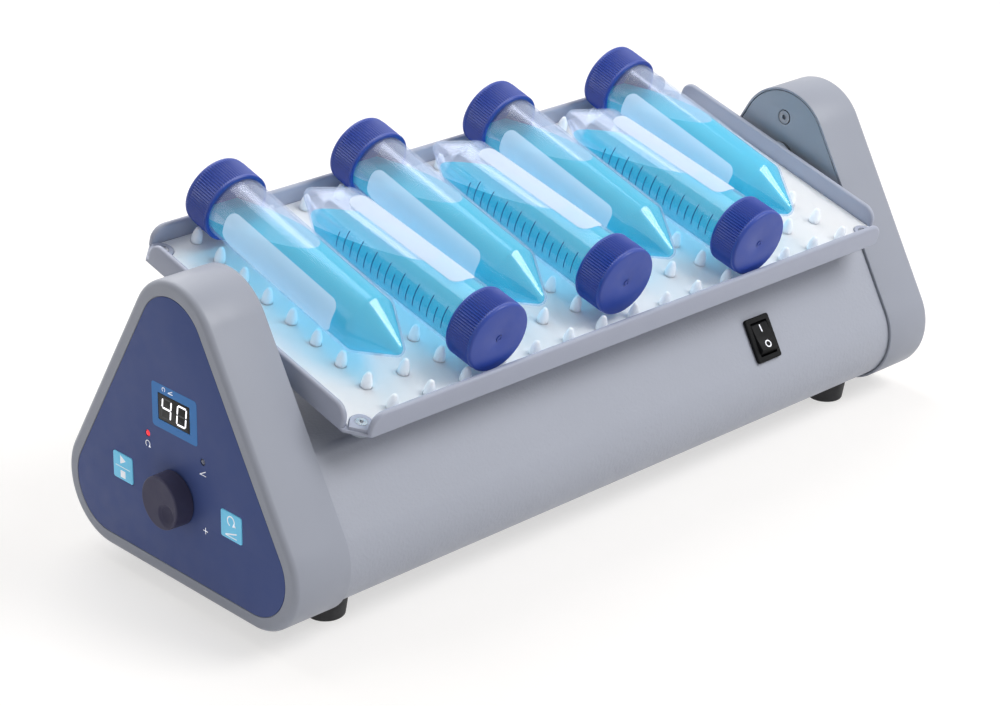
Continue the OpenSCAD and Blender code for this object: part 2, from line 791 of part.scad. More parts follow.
// Slotted light gate that sees the sector's edge when the tray is level
module home_sensor() color("#202226") {
    edge_a = -90 + ((sector_teeth - 1) / 2 + 0.7) * 360 / sector_n;
    tip = gear_m * (sector_n / 2 + 1);
    gate_w = 7;
    arm_t = 2.2;
    slot = sector_w + 1.6;
    slot_x = gear_x - sector_w / 2 - slot / 2;
    translate([0, 0, pivot_h]) rotate([edge_a, 0, 0]) {
        for (x = [slot_x - arm_t, slot_x + slot])
            translate([x, tip - 8, -gate_w / 2]) cube([arm_t, 12, gate_w]);
        translate([slot_x - arm_t, tip + 2.5, -gate_w / 2])
            cube([plate_left - plate_full - slot_x + arm_t, 4, gate_w]);
    }
}

// ---- tray -----------------------------------------------------------------------

// Flanged bush with its flange on the tray side, drawn towards -X from x = 0
module axle_bush() rotate([0, -90, 0]) rotate_extrude($fn = 48) polygon([
    [axle_d / 2 + run_fit, -bush_lip_t], [bush_lip_r, -bush_lip_t], [bush_lip_r, 0],
    [bush_r, 0], [bush_r, bush_l], [axle_d / 2 + run_fit, bush_l]]);

module axle_bushes() color("#e6e0cf") {
    translate([plate_left, 0, pivot_h]) axle_bush();
    translate([plate_right, 0, pivot_h]) mirror([1, 0, 0]) axle_bush();
}

// Trunnion with its collar's tray side at x = 0, pointing to -X for length l; its collar nearly
// fills the gap between the tray's lug and the bush
module trunnion(l, gap, groove = false) rotate([0, -90, 0]) difference() {
    collar_t = gap - lug_t - bush_lip_t - axial_play;
    rotate_extrude($fn = 48) polygon([
        [0, -lug_t], [pin_r, -lug_t], [pin_r, 0], [collar_r, 0], [collar_r, collar_t],
        [axle_d / 2, collar_t], [axle_d / 2, l - 0.6], [axle_d / 2 - 0.6, l], [0, l]]);
    if (groove)
        translate([0, 0, ring_at]) rotate_extrude($fn = 48)
            translate([axle_d / 2 - 0.8, 0]) square([2, ring_t + 0.1]);
}

ring_t = 0.8;
ring_at = right_gap - lug_t + bush_l + 0.3;

module left_trunnion() color("#c9ccd1")
    translate([tray_xa - lug_t, 0, pivot_h]) trunnion(tray_xa - lug_t - gear_x + sector_w + 1, left_gap);

module right_trunnion() color("#c9ccd1")
    translate([tray_xb + lug_t, 0, pivot_h]) mirror([1, 0, 0]) trunnion(ring_at + 3, right_gap, groove = true);

// Open ring in the right trunnion's groove
module retaining_ring() color("#6f737b")
    translate([tray_xb + lug_t + ring_at + 0.05, 0, pivot_h]) rotate([0, 90, 0]) difference() {
        cylinder(h = ring_t, r = axle_d / 2 + 2.4, $fn = 48);
        translate([0, 0, -1]) cylinder(h = 3, r = axle_d / 2 - 0.78, $fn = 48);
        translate([0, -2.4, -1]) cube([12, 4.8, 3]);
    }

corner_screws = [for (x = [tray_xa + tab_x, tray_xb - tab_x], y = [-1, 1])
    [x, y * (tray_half - tab_y)]];

// Bracket under the left end of the tray, with the lug that holds the trunnion
module tray_bracket() {
    sy = tray_half - tab_y;
    difference() {
        union() {
            translate([0, 0, floor_n - bracket_t]) linear_extrude(bracket_t) {
                hull() for (y = [-1, 1]) translate([tab_x, y * sy]) circle(tab_r, $fn = 32);
                translate([-lug_t, -lug_r]) square([lug_t + tab_x + tab_r + 2, 2 * lug_r]);
            }
            along_x(-lug_t, lug_t) {
                circle(lug_r, $fn = 64);
                translate([-lug_r, floor_n - bracket_t]) square([2 * lug_r, bracket_t - floor_n]);
            }
        }
        rod(-lug_t - 1, lug_t + 2, pin_r + 0.01);
        for (y = [-1, 1])
            translate([tab_x, y * sy, floor_n - bracket_t - 1]) cylinder(h = bracket_t + 2, r = 1.52, $fn = 24);
        // The lug is a plate: nothing of it lies over the floor
        translate([0, -20, floor_n]) cube([30, 40, 30]);
    }
}

module tray_brackets() color("#8e939d") in_tray() {
    translate([tray_xa, 0, 0]) tray_bracket();
    translate([tray_xb, 0, 0]) mirror([1, 0, 0]) tray_bracket();
}

// Tray floor with its four corners cut off
module floor_outline() polygon([for (sx = [0, 1], q = [0, 1, 2, 3])
    let (s = sx == 0 ? 1 : -1, x = sx == 0 ? tray_xa : tray_xb,
         p = [[corner_cut, -tray_half], [0, corner_cut - tray_half],
              [0, tray_half - corner_cut], [corner_cut, tray_half]])
    [x + s * p[q][0], s * p[q][1]]]);

// Outline of a flange seen square to it: l long, with its top corners rounded
module flange_outline(l) polygon(concat(
    [[-l / 2, 0], [l / 2, 0]],
    arc([l / 2 - flange_r, flange_h - flange_r], flange_r, 0, 90, 8),
    arc([flange_r - l / 2, flange_h - flange_r], flange_r, 90, 180, 8)));

// Corner tab: a round end about the screw that runs out to the corner
module tab_outline(grow = 0) for (p = corner_screws)
    hull() for (t = [0, 12])
        translate([p[0] + sign(p[0] - tray_cx) * t, p[1] + sign(p[1]) * t])
            circle(tab_r + grow, $fn = 32);

module tray_pan() color("#969aa3") in_tray() difference() {
    union() {
        translate([0, 0, floor_n]) linear_extrude(floor_t) floor_outline();
        translate([0, 0, floor_n]) linear_extrude(tab_t) intersection() {
            floor_outline();
            tab_outline();
        }
        for (s = [-1, 1])
            translate([tray_cx, s * (tray_half - flange_t / 2) + flange_t / 2, floor_n])
                rotate([90, 0, 0]) linear_extrude(flange_t) flange_outline(tray_l - 2 * corner_cut - 2);
        for (x = [tray_xa, tray_xb - flange_t])
            translate([x, 0, floor_n])
                rotate([90, 0, 90]) linear_extrude(flange_t) flange_outline(tray_w - 2 * corner_cut - 2);
    }
    for (p = corner_screws)
        translate([p[0], p[1], floor_n - 1]) cylinder(h = tab_t + 2, r = 1.6, $fn = 24);
    for (p = corner_screws)
        translate([p[0], p[1], floor_n + tab_t - 1.6]) cylinder(h = 2, r = 2.75 + drop_fit, $fn = 32);
}

module tray_corner_screws() color("#b9bcc2") in_tray()
    for (p = corner_screws)
        translate([p[0], p[1], floor_n + tab_t]) rotate([0, 90, 0]) cap_screw(tab_t + 1.4, 1.5, 2.75, 1.6);

function peg_at(i, j) = [tray_cx + (i - (peg_cols - 1) / 2) * peg_dx, (j - (peg_rows - 1) / 2) * peg_dy];

// Bullet-shaped peg: its flank bows out between its foot and its round tip
module peg() rotate_extrude($fn = 24) polygon(concat(
    [[0, -mat_t / 2], [peg_d / 2, -mat_t / 2], [peg_d / 2, peg_h * 0.15]],
    [for (t = [0.25, 0.5, 0.75]) [peg_d / 2 - (peg_d / 2 - peg_tip_r) * pow(t, 1.8), peg_h * 0.15
        + (peg_h * 0.85 - peg_tip_r) * t]],
    arc([0, peg_h - peg_tip_r], peg_tip_r, 0, 90, 3)));

module tray_mat() color("#f4f6f8") in_tray() {
    translate([0, 0, mat_n]) linear_extrude(mat_t) difference() {
        translate([tray_cx, 0])
            square([tray_l - 2 * flange_t - 0.6, tray_w - 2 * flange_t - 0.6], center = true);
        tab_outline(drop_fit + 0.3);
    }
    for (i = [0:peg_cols - 1], j = [0:peg_rows - 1])
        translate([peg_at(i, j)[0], peg_at(i, j)[1], mat_top]) peg();
}

// ---- tubes -------------------------------------------------------------------------

// Frame of tube i: origin in the cap's face, Z along the tube to its tip
module in_tube(i) {
    s = tube_sides[i - 1];
    v = cap_v[i - 1];
    in_tray() translate([peg_at(0, 0)[0] + peg_dx * (2 * i - 1.5), s * v, axis_n(v)])
        rotate([s * (90 + tube_angle), 0, 0]) children();
}

// The tip's centre, the neck inside the cap, and the neck's clearance in the cap
cone_end = tube_l - tip_r;
neck_r = tube_r - 0.3;
neck_fit = 0.1;

// Outside of a tube from its neck to its tip, drawn smaller by w: radius, then distance from the cap's face
function tube_profile(w) =
    let (tilt = asin((tube_low_r - tip_r) / norm([tube_low_r, cone_end - shoulder])))
    concat(
        [[neck_r - w, cap_top_t + 0.2], [neck_r - w, cap_h + 0.6], [tube_r - w, cap_h + 1.4],
         [tube_low_r - w, shoulder]],
        arc([0, cone_end], tip_r - w, tilt, 90, 6));

module tube(i) color([0.86, 0.93, 0.96, 0.45]) in_tube(i) rotate_extrude($fn = 64)
    polygon(concat(tube_profile(0), reversed(tube_profile(tube_wall))));

// The ribs stand a little inside the smooth rim, and the cap's top stays inside their grooves
rib_in = 0.1;
top_r = cap_r - rib_in - rib_d - 0.1;

// One rib of the cap's outline, with the groove beside it
function rib(k) =
    let (q = 360 / cap_ribs)
    [for (p = [[-0.3, 0], [0.3, 0], [0.5, rib_d]]) polar(cap_r - rib_in - p[1], (k + p[0]) * q)];

module tube_cap(i) color("#3a4c9e") in_tube(i) difference() {
    union() {
        rotate_extrude($fn = 64) polygon([
            [0, 0], [top_r - 0.9, 0], [top_r, 0.9], [top_r, cap_top_t], [0, cap_top_t]]);
        translate([0, 0, 1.6]) linear_extrude(cap_h - 3) polygon([for (k = [0:cap_ribs - 1]) each rib(k)]);
        translate([0, 0, cap_h - 2]) cylinder(h = 2, r = cap_r, $fn = 64);
    }
    translate([0, 0, cap_top_t]) cylinder(h = cap_h, r = neck_r + neck_fit, $fn = 64);
}

// Height of the liquid's level surface in tube i
function level_z(i) =
    let (s = tube_sides[i - 1], d = level_at[i - 1], top = tube_r - tube_wall,
         v = s * (cap_v[i - 1] - d * cos(tube_angle) + top * sin(tube_angle)),
         n = axis_n(cap_v[i - 1]) - d * sin(tube_angle) + top * cos(tube_angle))
    pivot_h + v * sin(tilt_rest) + n * cos(tilt_rest);

// Liquid that fills tube i up to a level surface
module tube_liquid(i) color([0.2, 0.68, 0.86, 0.7]) intersection() {
    in_tube(i) rotate_extrude($fn = 64)
        polygon(concat([[0, cap_top_t + 0.2]], tube_profile(tube_wall + 0.03)));
    translate([-300, -150, 0]) cube([600, 300, level_z(i)]);
}

// ---- drawing -------------------------------------------------------------------------

left_housing();
right_housing();
left_end_plate();
right_end_plate();
end_plate_screws();
body_cover();
base_plate();
feet();
chassis_screws();
panel_film();
display_window();
display_module();
speed_led();
tilt_led();
control_board();
encoder_body();
encoder_shaft();
knob();
run_stop_key();
mode_key();
switch_housing();
switch_rocker();
power_inlet();
inlet_pins();
power_board();
stepper_motor();
motor_screws();
motor_shaft();
motor_pinion();
sector_gear();
home_sensor();
axle_bushes();
left_trunnion();
right_trunnion();
retaining_ring();
tray_brackets();
tray_pan();
tray_mat();
tray_corner_screws();
for (i = [1:7]) {
    tube(i);
    tube_cap(i);
    tube_liquid(i);
}
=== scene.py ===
"""Looks of the digital tube rocker: finishes, printed panel, tubes with liquid, studio and camera.

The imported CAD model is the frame. Lengths are written in millimetres and turned into metres by MM.
X runs along the length with the control panel at -X, +Y is the rear and Z is up from the floor.
"""

import math

import bmesh
import bpy
from mathutils import Matrix, Vector
from mathutils.geometry import tessellate_polygon

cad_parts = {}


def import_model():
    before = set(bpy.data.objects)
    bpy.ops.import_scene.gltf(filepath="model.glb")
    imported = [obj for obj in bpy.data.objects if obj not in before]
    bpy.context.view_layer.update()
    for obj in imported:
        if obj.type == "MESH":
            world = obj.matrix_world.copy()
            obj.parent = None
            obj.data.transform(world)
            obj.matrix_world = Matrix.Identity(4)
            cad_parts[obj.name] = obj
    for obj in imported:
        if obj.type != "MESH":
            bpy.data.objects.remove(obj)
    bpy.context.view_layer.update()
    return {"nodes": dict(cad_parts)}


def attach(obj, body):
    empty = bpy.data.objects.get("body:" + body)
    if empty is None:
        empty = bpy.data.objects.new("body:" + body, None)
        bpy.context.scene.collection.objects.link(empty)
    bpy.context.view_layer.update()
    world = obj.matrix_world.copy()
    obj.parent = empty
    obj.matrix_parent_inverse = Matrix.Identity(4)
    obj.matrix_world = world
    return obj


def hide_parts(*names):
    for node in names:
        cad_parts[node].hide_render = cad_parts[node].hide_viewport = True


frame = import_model()
NODES = frame["nodes"]
MM = 0.001

# ---- sizes, as in the CAD model ----

X_LEFT = -215.0
X_RIGHT = 215.0
PLATE_LEFT = -184.0
PLATE_RIGHT = 184.2
APEX_R = 28.9
BASE_R = 28.9
BASE_HALF = 51.5
APEX_RISE = 86.8
HOUSING_LOW = 8.3
BODY_INSET = 1.7
BODY_LOW = HOUSING_LOW + BODY_INSET
BASE_Z = HOUSING_LOW + BASE_R
APEX_Z = BASE_Z + APEX_RISE
SLOPE = math.degrees(math.atan2(-APEX_RISE, BASE_HALF)) + 90.0
WALL = 3.0
FACE_ROUND = 3.0
RIM_W = 6.9
FILM_X = X_LEFT + 0.1
FILM_T = 0.5
RECESS = FILM_X + FILM_T - X_LEFT
INK_T = 0.05
PLATE_T = 1.6
PLATE_FULL = 4.6
LIP_T = 1.2
PLATE_GAP = 0.4
BOSS_L = 4.4
DECK_H = 84.0
BEND_R = 6.0
SHEET_T = 1.5
LIP_W = 12.0
FOOT_Y = 50.5
BUSH_R = 6.0
BOSS_R = 10.0
MOTOR_Z = 53.0
MOTOR_HOLE_R = 11.1
SENSOR_YZ = (-37, 69)
SENSOR_HOLE = 14.0

PIVOT_H = 116.0
TILT = 15.5
TRAY_XA = PLATE_LEFT + 7.0
TRAY_XB = PLATE_RIGHT - 4.2
TRAY_CX = (TRAY_XA + TRAY_XB) / 2
TRAY_HALF_X = (TRAY_XB - TRAY_XA) / 2
TRAY_HALF = 78.8
FLOOR_N = -2.4
FLOOR_T = 1.5
FLANGE_H = 11.6
FLANGE_T = 3.0
FLANGE_R = 7.0
CORNER_CUT = 9.0
TAB_X = 9.6
TAB_Y = 8.4
TAB_R = 5.0
TAB_T = 3.0
TAB_HOLE_R = 2.95
MAT_N = FLOOR_N + FLOOR_T
MAT_T = 1.2
MAT_TOP = MAT_N + MAT_T
PEG_COLS = 15
PEG_ROWS = 9
PEG_DX = 21.5
PEG_DY = 17.3
PEG_D = 5.2
PEG_H = 7.8
PEG_TIP_R = 1.4

TUBES = 7
TUBE_L = 133.0
TUBE_R = 15.4
TUBE_LOW_R = 15.0
SHOULDER = 110.5
TIP_R = 4.0
TUBE_WALL = 1.1
CAP_R = 17.4
CAP_H = 16.0
RIBS = 84
RIB_D = 0.58
# For each tube: 1 if its cap is at the rear, -1 if at the front; its cap face's distance from
# the tray's middle line; and how far from the cap face its liquid reaches along the top
TUBE_SIDES = (1, -1, 1, -1, 1, -1, 1)
CAP_FACE = (74.4, 73.5, 74.4, 68.2, 74.4, 74.2, 74.4)
LEVEL_AT = (71, 46, 71, 46, 71, 46, 71)
SEAT_GAP = 0.3
# Angles round the tube of the patch and of the scale's start, by the side of the cap
PATCH = {1: (142, 206), -1: (-112, -58)}
SCALE = {1: -75, -1: -190}
PATCH_AT = (26, 102)
SCALE_AT = 21
SCALE_STEP = 4.8
SCALE_LINES = 16
LINE_W = 0.45
PRINT_LIFT = 0.04

DISPLAY_Z = 92.4
WINDOW_W = 21.8
WINDOW_H = 12.4
DIGIT_H = 9.2
DIGIT_W = 6.0
DIGIT_Z = DISPLAY_Z - DIGIT_H / 2
# Left edge, lit segments and dark segments of each digit
DIGITS = ((-8.7, "bcfg", "ade"), (1.8, "abcdef", "g"))
LED_Z = 76.0
LED_Y = 19.3
LED_R = 1.5
KEY_Z = 52.3
KEY_Y = 38.2
KEY_W = 14.0
KEY_H = 13.0
KEY_RISE = 0.35
KNOB_Z = 52.0
KNOB_R = 12.6
KNOB_H = 9.6
DIMPLE_R = 5.2
DIMPLE_OFF = 6.6
DIMPLE_ANGLE = 220.0
DIMPLE_BALL_R = 6.4

SWITCH_X = 93.3
SWITCH_Z = 61.0
SWITCH_W = 17.0
SWITCH_L = 22.5
ROCKER_SWING = 10.0
ROCKER_R = 8.4
ROCKER_MID = 4.9
ROCKER_RISE = 38.0
ROCKER_HALF = 5.6
INLET_X = 120
INLET_Z = 54
INLET_HOLE = (27.4, 20.4)

# ---- colours ----


def srgb(r, g, b):
    """Linear colour of an 8-bit display colour."""
    def linear(c):
        c /= 255
        return c / 12.92 if c <= 0.04045 else ((c + 0.055) / 1.055) ** 2.4
    return (linear(r), linear(g), linear(b), 1.0)


HOUSING_GREY = srgb(157, 161, 173)
BODY_GREY = srgb(170, 174, 186)
TRAY_GREY = srgb(166, 171, 188)
PLATE_GREY = srgb(150, 158, 170)
NAVY = srgb(70, 86, 140)
BEZEL_BLUE = srgb(30, 120, 196)
KEY_BLUE = srgb(120, 214, 255)
CAP_BLUE = srgb(36, 66, 160)

# ---- shader helpers ----


class Shading:
    """A node tree, and helpers to add nodes to it."""

    def __init__(self, tree):
        self.tree = tree

    def put(self, socket, value):
        """Gives a socket a value, or links it to the output that value is."""
        if isinstance(value, bpy.types.NodeSocket):
            self.tree.links.new(value, socket)
        else:
            socket.default_value = value

    def node(self, kind, inputs=None, **settings):
        made = self.tree.nodes.new(kind)
        for key, value in settings.items():
            setattr(made, key, value)
        for socket, value in (inputs or {}).items():
            self.put(made.inputs[socket], value)
        return made

    def math(self, operation, a, b):
        return self.node("ShaderNodeMath", {0: a, 1: b}, operation=operation).outputs[0]

    def span(self, source, low, high, start=0.0, end=1.0):
        """source from start..end brought to low..high."""
        ends = {"From Min": start, "From Max": end, "To Min": low, "To Max": high}
        return self.node("ShaderNodeMapRange", {"Value": source, **ends}).outputs["Result"]

    def seen_rays(self):
        """1 for camera, mirror and glass rays, else 0."""
        path = self.node("ShaderNodeLightPath").outputs
        seen = self.math("MAXIMUM", path["Is Camera Ray"], path["Is Glossy Ray"])
        return self.math("MAXIMUM", seen, path["Is Transmission Ray"])


class Finish(Shading):
    """A material with one Principled shader."""

    def __init__(self, name, colour, roughness=0.5, **sockets):
        self.material = bpy.data.materials.new(name)
        self.material.use_nodes = True
        super().__init__(self.material.node_tree)
        self.tree.nodes.clear()
        self.shader = self.node("ShaderNodeBsdfPrincipled")
        self.output = self.node("ShaderNodeOutputMaterial", {0: self.shader.outputs[0]})
        self.set("Base Color", colour)
        self.set("Roughness", roughness)
        for socket, value in sockets.items():
            self.set(socket.replace("_", " "), value)
        self.place = self.node("ShaderNodeTexCoord").outputs["Object"]

    def set(self, socket, value):
        self.put(self.shader.inputs[socket], value)

    def noise(self, size, detail=2.0, rough=0.5):
        """Noise with features of about size millimetres."""
        return self.node("ShaderNodeTexNoise", {
            "Vector": self.place, "Scale": 1 / (size * MM), "Detail": detail, "Roughness": rough,
        }).outputs["Fac"]

    def mix(self, factor, a, b):
        inputs = {"Factor": factor, "A": a, "B": b}
        return self.node("ShaderNodeMix", inputs, data_type="RGBA").outputs["Result"]

    def bump(self, height, depth):
        """Bump of depth millimetres from a 0..1 height."""
        inputs = {"Strength": 1.0, "Distance": depth * MM, "Height": height}
        self.set("Normal", self.node("ShaderNodeBump", inputs).outputs["Normal"])

    def glow(self, colour, strength):
        self.set("Emission Color", colour)
        self.set("Emission Strength", strength)

    def vary(self, size, amount):
        """Colour that drifts by amount, over patches of size millimetres."""
        base = tuple(self.shader.inputs["Base Color"].default_value)[:3]
        dark = tuple(c * (1 - amount) for c in base) + (1,)
        light = tuple(min(1, c * (1 + amount)) for c in base) + (1,)
        self.set("Base Color", self.mix(self.noise(size, 3), dark, light))

    def wear(self, size, low, high):
        """Roughness that drifts between low and high."""
        self.set("Roughness", self.span(self.noise(size, 4), low, high, 0.3, 0.7))

    def clear(self, tint):
        return self.node("ShaderNodeBsdfTransparent", {"Color": tint}).outputs[0]

    def blend(self, share, a, b):
        """Sends shaders a and b to the output, share of it being b."""
        last = self.node("ShaderNodeMixShader", {0: share, 1: a, 2: b}).outputs[0]
        self.put(self.output.inputs[0], last)
        return last

    def see_through(self, share, behind, lamps):
        """The shader covers only share of what lies behind it, which shows through tinted.

        Shadow rays pass with a tint of their own, so that the lamps light what lies behind.
        """
        last = self.blend(share, self.clear(behind), self.shader.outputs[0])
        shadow = self.node("ShaderNodeLightPath").outputs["Is Shadow Ray"]
        self.blend(shadow, last, self.clear(lamps))


def coated(name, colour, grain, depth, roughness=(0.42, 0.56), drift=0.03, gloss=0.5):
    """Powder coat or moulded texture with grains of about grain millimetres."""
    f = Finish(name, colour, Specular_IOR_Level=gloss)
    f.vary(45, drift)
    f.wear(9, *roughness)
    f.bump(f.noise(grain, 3, 0.55), depth)
    return f.material


def moulded(name, colour, roughness=(0.3, 0.42), grain=0.35, depth=0.012, gloss=0.5, glow=0.0):
    """Smooth moulded plastic, or rubber where it is rough; glow is painted light that brightens it
    in its own colour.
    """
    f = Finish(name, colour, Specular_IOR_Level=gloss)
    f.glow(colour, glow)
    f.vary(20, 0.04)
    f.wear(5, *roughness)
    f.bump(f.noise(grain, 2), depth)
    return f.material


def metal(name, colour, roughness=(0.22, 0.36), grain=0.6, depth=0.006):
    """Bare metal with a fine grain."""
    f = Finish(name, colour, Metallic=1.0)
    f.vary(6, 0.06)
    f.wear(3, *roughness)
    f.bump(f.noise(grain, 2), depth)
    return f.material


def printed(name, colour, roughness=0.45, glow=0.0):
    """Ink; glow is painted light that makes it look brighter than it is lit."""
    f = Finish(name, colour, roughness)
    f.glow(colour, glow)
    f.vary(3, 0.03)
    return f.material


def glowing(name, colour, strength):
    """Lit segment or lamp, a little uneven."""
    f = Finish(name, colour, 0.4)
    f.glow(colour, f.span(f.noise(1.5), strength * 0.92, strength * 1.08))
    return f.material


MATERIALS = {
    "housing": coated("housing_paint", HOUSING_GREY, 0.9, 0.012, (0.36, 0.48), 0.015, 0.4),
    "plate": coated("plate_paint", PLATE_GREY, 0.9, 0.012, (0.36, 0.48), 0.02),
    "body": coated("body_paint", BODY_GREY, 1.5, 0.2, (0.38, 0.5), 0.02),
    "tray": coated("tray_paint", TRAY_GREY, 1.1, 0.025, (0.38, 0.5), 0.02),
    "foot": moulded("foot_rubber", srgb(34, 34, 37), (0.55, 0.75), 0.5, 0.02),
    "film": coated("panel_film", NAVY, 0.5, 0.006, (0.42, 0.54), 0.03, 0.22),
    "knob": moulded("knob_plastic", srgb(64, 62, 86), (0.45, 0.58), 0.45, 0.015, gloss=0.25),
    "black": moulded("black_plastic", srgb(15, 16, 18), (0.4, 0.55), gloss=0.25),
    "switch": moulded("switch_plastic", srgb(13, 14, 16), (0.5, 0.62), gloss=0.15),
    "cap": moulded("cap_plastic", CAP_BLUE, (0.32, 0.44), 0.5, 0.01),
    "steel": metal("bright_steel", srgb(190, 192, 196)),
    "screw": metal("screw_steel", srgb(150, 152, 158), (0.3, 0.45)),
    "zinc": metal("galvanised", srgb(172, 176, 182), (0.35, 0.5), 2.0, 0.01),
    "brass": metal("brass_gear", srgb(196, 160, 92)),
    "motor": moulded("motor_black", srgb(30, 31, 34), (0.35, 0.5)),
    "board": moulded("circuit_board", srgb(30, 104, 62), (0.3, 0.4)),
    # Painted shade: the axle bushes are dark grey so that they read as the shade round them.
    "bush": moulded("bush_plastic", srgb(92, 95, 100)),
    "window": moulded("window_smoked", srgb(9, 9, 11), (0.24, 0.32), 2.0, 0.002, gloss=0.2),
    "bezel": printed("print_blue", BEZEL_BLUE),
    # Painted light: the keys glow a little in their own colour, to look brighter than they are lit.
    "key": moulded("key_plastic", KEY_BLUE, (0.35, 0.45), glow=0.1),
    # Painted light: the white marks glow, to look brighter than they are lit.
    "ink": printed("print_white", srgb(236, 238, 244), glow=0.3),
    "ghost": printed("segments_off", srgb(44, 45, 50)),
    "digit": glowing("segments_lit", srgb(252, 250, 255), 1.1),
    "led_on": glowing("lamp_lit", srgb(232, 44, 52), 1.2),
    "led_off": moulded("lamp_off", srgb(112, 116, 134), (0.2, 0.3)),
}


def mat_rubber():
    """White silicone: light bleeds a little way into it, most of all through the pegs."""
    f = Finish("mat_rubber", srgb(242, 244, 249))
    f.set("Subsurface Weight", 0.9)
    f.set("Subsurface Scale", 5 * MM)
    f.set("Subsurface Radius", (1.0, 1.0, 1.0))
    # Painted light: a faint glow brightens the white mat and its pegs.
    f.glow(srgb(226, 238, 252), 0.07)
    f.vary(20, 0.01)
    f.wear(5, 0.45, 0.6)
    f.bump(f.noise(0.8, 2), 0.01)
    return f.material


def clear_plastic():
    """Clear wall: mirrors more and looks milkier towards its edges."""
    f = Finish("clear_tube", srgb(226, 230, 246), 0.1, Metallic=0.45)
    # Painted light: a faint glow brightens the clear wall.
    f.glow(srgb(206, 214, 238), 0.1)
    f.wear(12, 0.08, 0.14)
    edge = f.node("ShaderNodeFresnel", {"IOR": 1.45}).outputs[0]
    share = f.span(edge, 0.11, 0.38, 0.035, 0.7)
    f.see_through(share, srgb(250, 252, 255), srgb(246, 250, 253))
    return f.material


def cyan_liquid():
    """Water-like filling that tints what lies behind it."""
    f = Finish("liquid", srgb(68, 224, 242), 0.2)
    # Painted light: the liquid glows a little, standing in for the light that shines through it.
    f.glow(srgb(74, 196, 216), 0.13)
    f.vary(40, 0.03)
    f.see_through(0.46, srgb(114, 226, 242), srgb(190, 238, 248))
    return f.material


def white_print(name, share, glow):
    """Thin white print that lets the liquid's colour through; glow is painted light standing in for
    light that shines through the tube.
    """
    f = Finish(name, srgb(226, 234, 246))
    f.glow(srgb(170, 216, 244), glow)
    f.vary(8, 0.02)
    f.see_through(share, (1, 1, 1, 1), srgb(240, 245, 250))
    return f.material


MATERIALS.update(
    mat=mat_rubber(),
    clear=clear_plastic(),
    liquid=cyan_liquid(),
    # Painted light: this patch glows, standing in for light shining through the tube.
    patch=white_print("print_patch", 0.4, 0.35),
    patch_dense=white_print("print_patch_dense", 0.45, 0.0),
    scale=printed("print_scale", srgb(8, 44, 104), 0.5),
)

# ---- mesh helpers ----


# Signs of the four corners, anticlockwise
CORNERS = ((1, 1), (-1, 1), (-1, -1), (1, -1))


def arc(centre, radius, start, end, steps):
    """Points from angle start to angle end, in degrees."""
    turns = [math.radians(start + (end - start) * i / steps) for i in range(steps + 1)]
    return [(centre[0] + radius * math.cos(t), centre[1] + radius * math.sin(t)) for t in turns]


def profile(inset=0.0, steps=32):
    """Rounded triangle of the housings in the y-z plane, anticlockwise."""
    return (
        arc((0, APEX_Z), APEX_R - inset, SLOPE, 180 - SLOPE, steps)
        + arc((-BASE_HALF, BASE_Z), BASE_R - inset, 180 - SLOPE, 270, steps)
        + arc((BASE_HALF, BASE_Z), BASE_R - inset, -90, SLOPE, steps)
    )


def side_y(z, inset=0.0):
    """Half width of the sloping side at height z."""
    slope = math.radians(SLOPE)
    return (APEX_R - inset - (z - APEX_Z) * math.sin(slope)) / math.cos(slope)


def rounded_rect(w, h, r, steps=8, centre=(0, 0)):
    points = []
    for k, (sx, sy) in enumerate(CORNERS):
        corner = (centre[0] + sx * (w / 2 - r), centre[1] + sy * (h / 2 - r))
        points += arc(corner, r, 90 * k, 90 * k + 90, steps)
    return points


def circle(r, steps=48, centre=(0, 0)):
    return arc(centre, r, 0, 360, steps)[:-1]


def yz(points, x):
    """Points of the y-z plane, at x."""
    return [(x, y, z) for y, z in points]


def flat(points, z):
    """Points of the x-y plane, at z."""
    return [(x, y, z) for x, y in points]


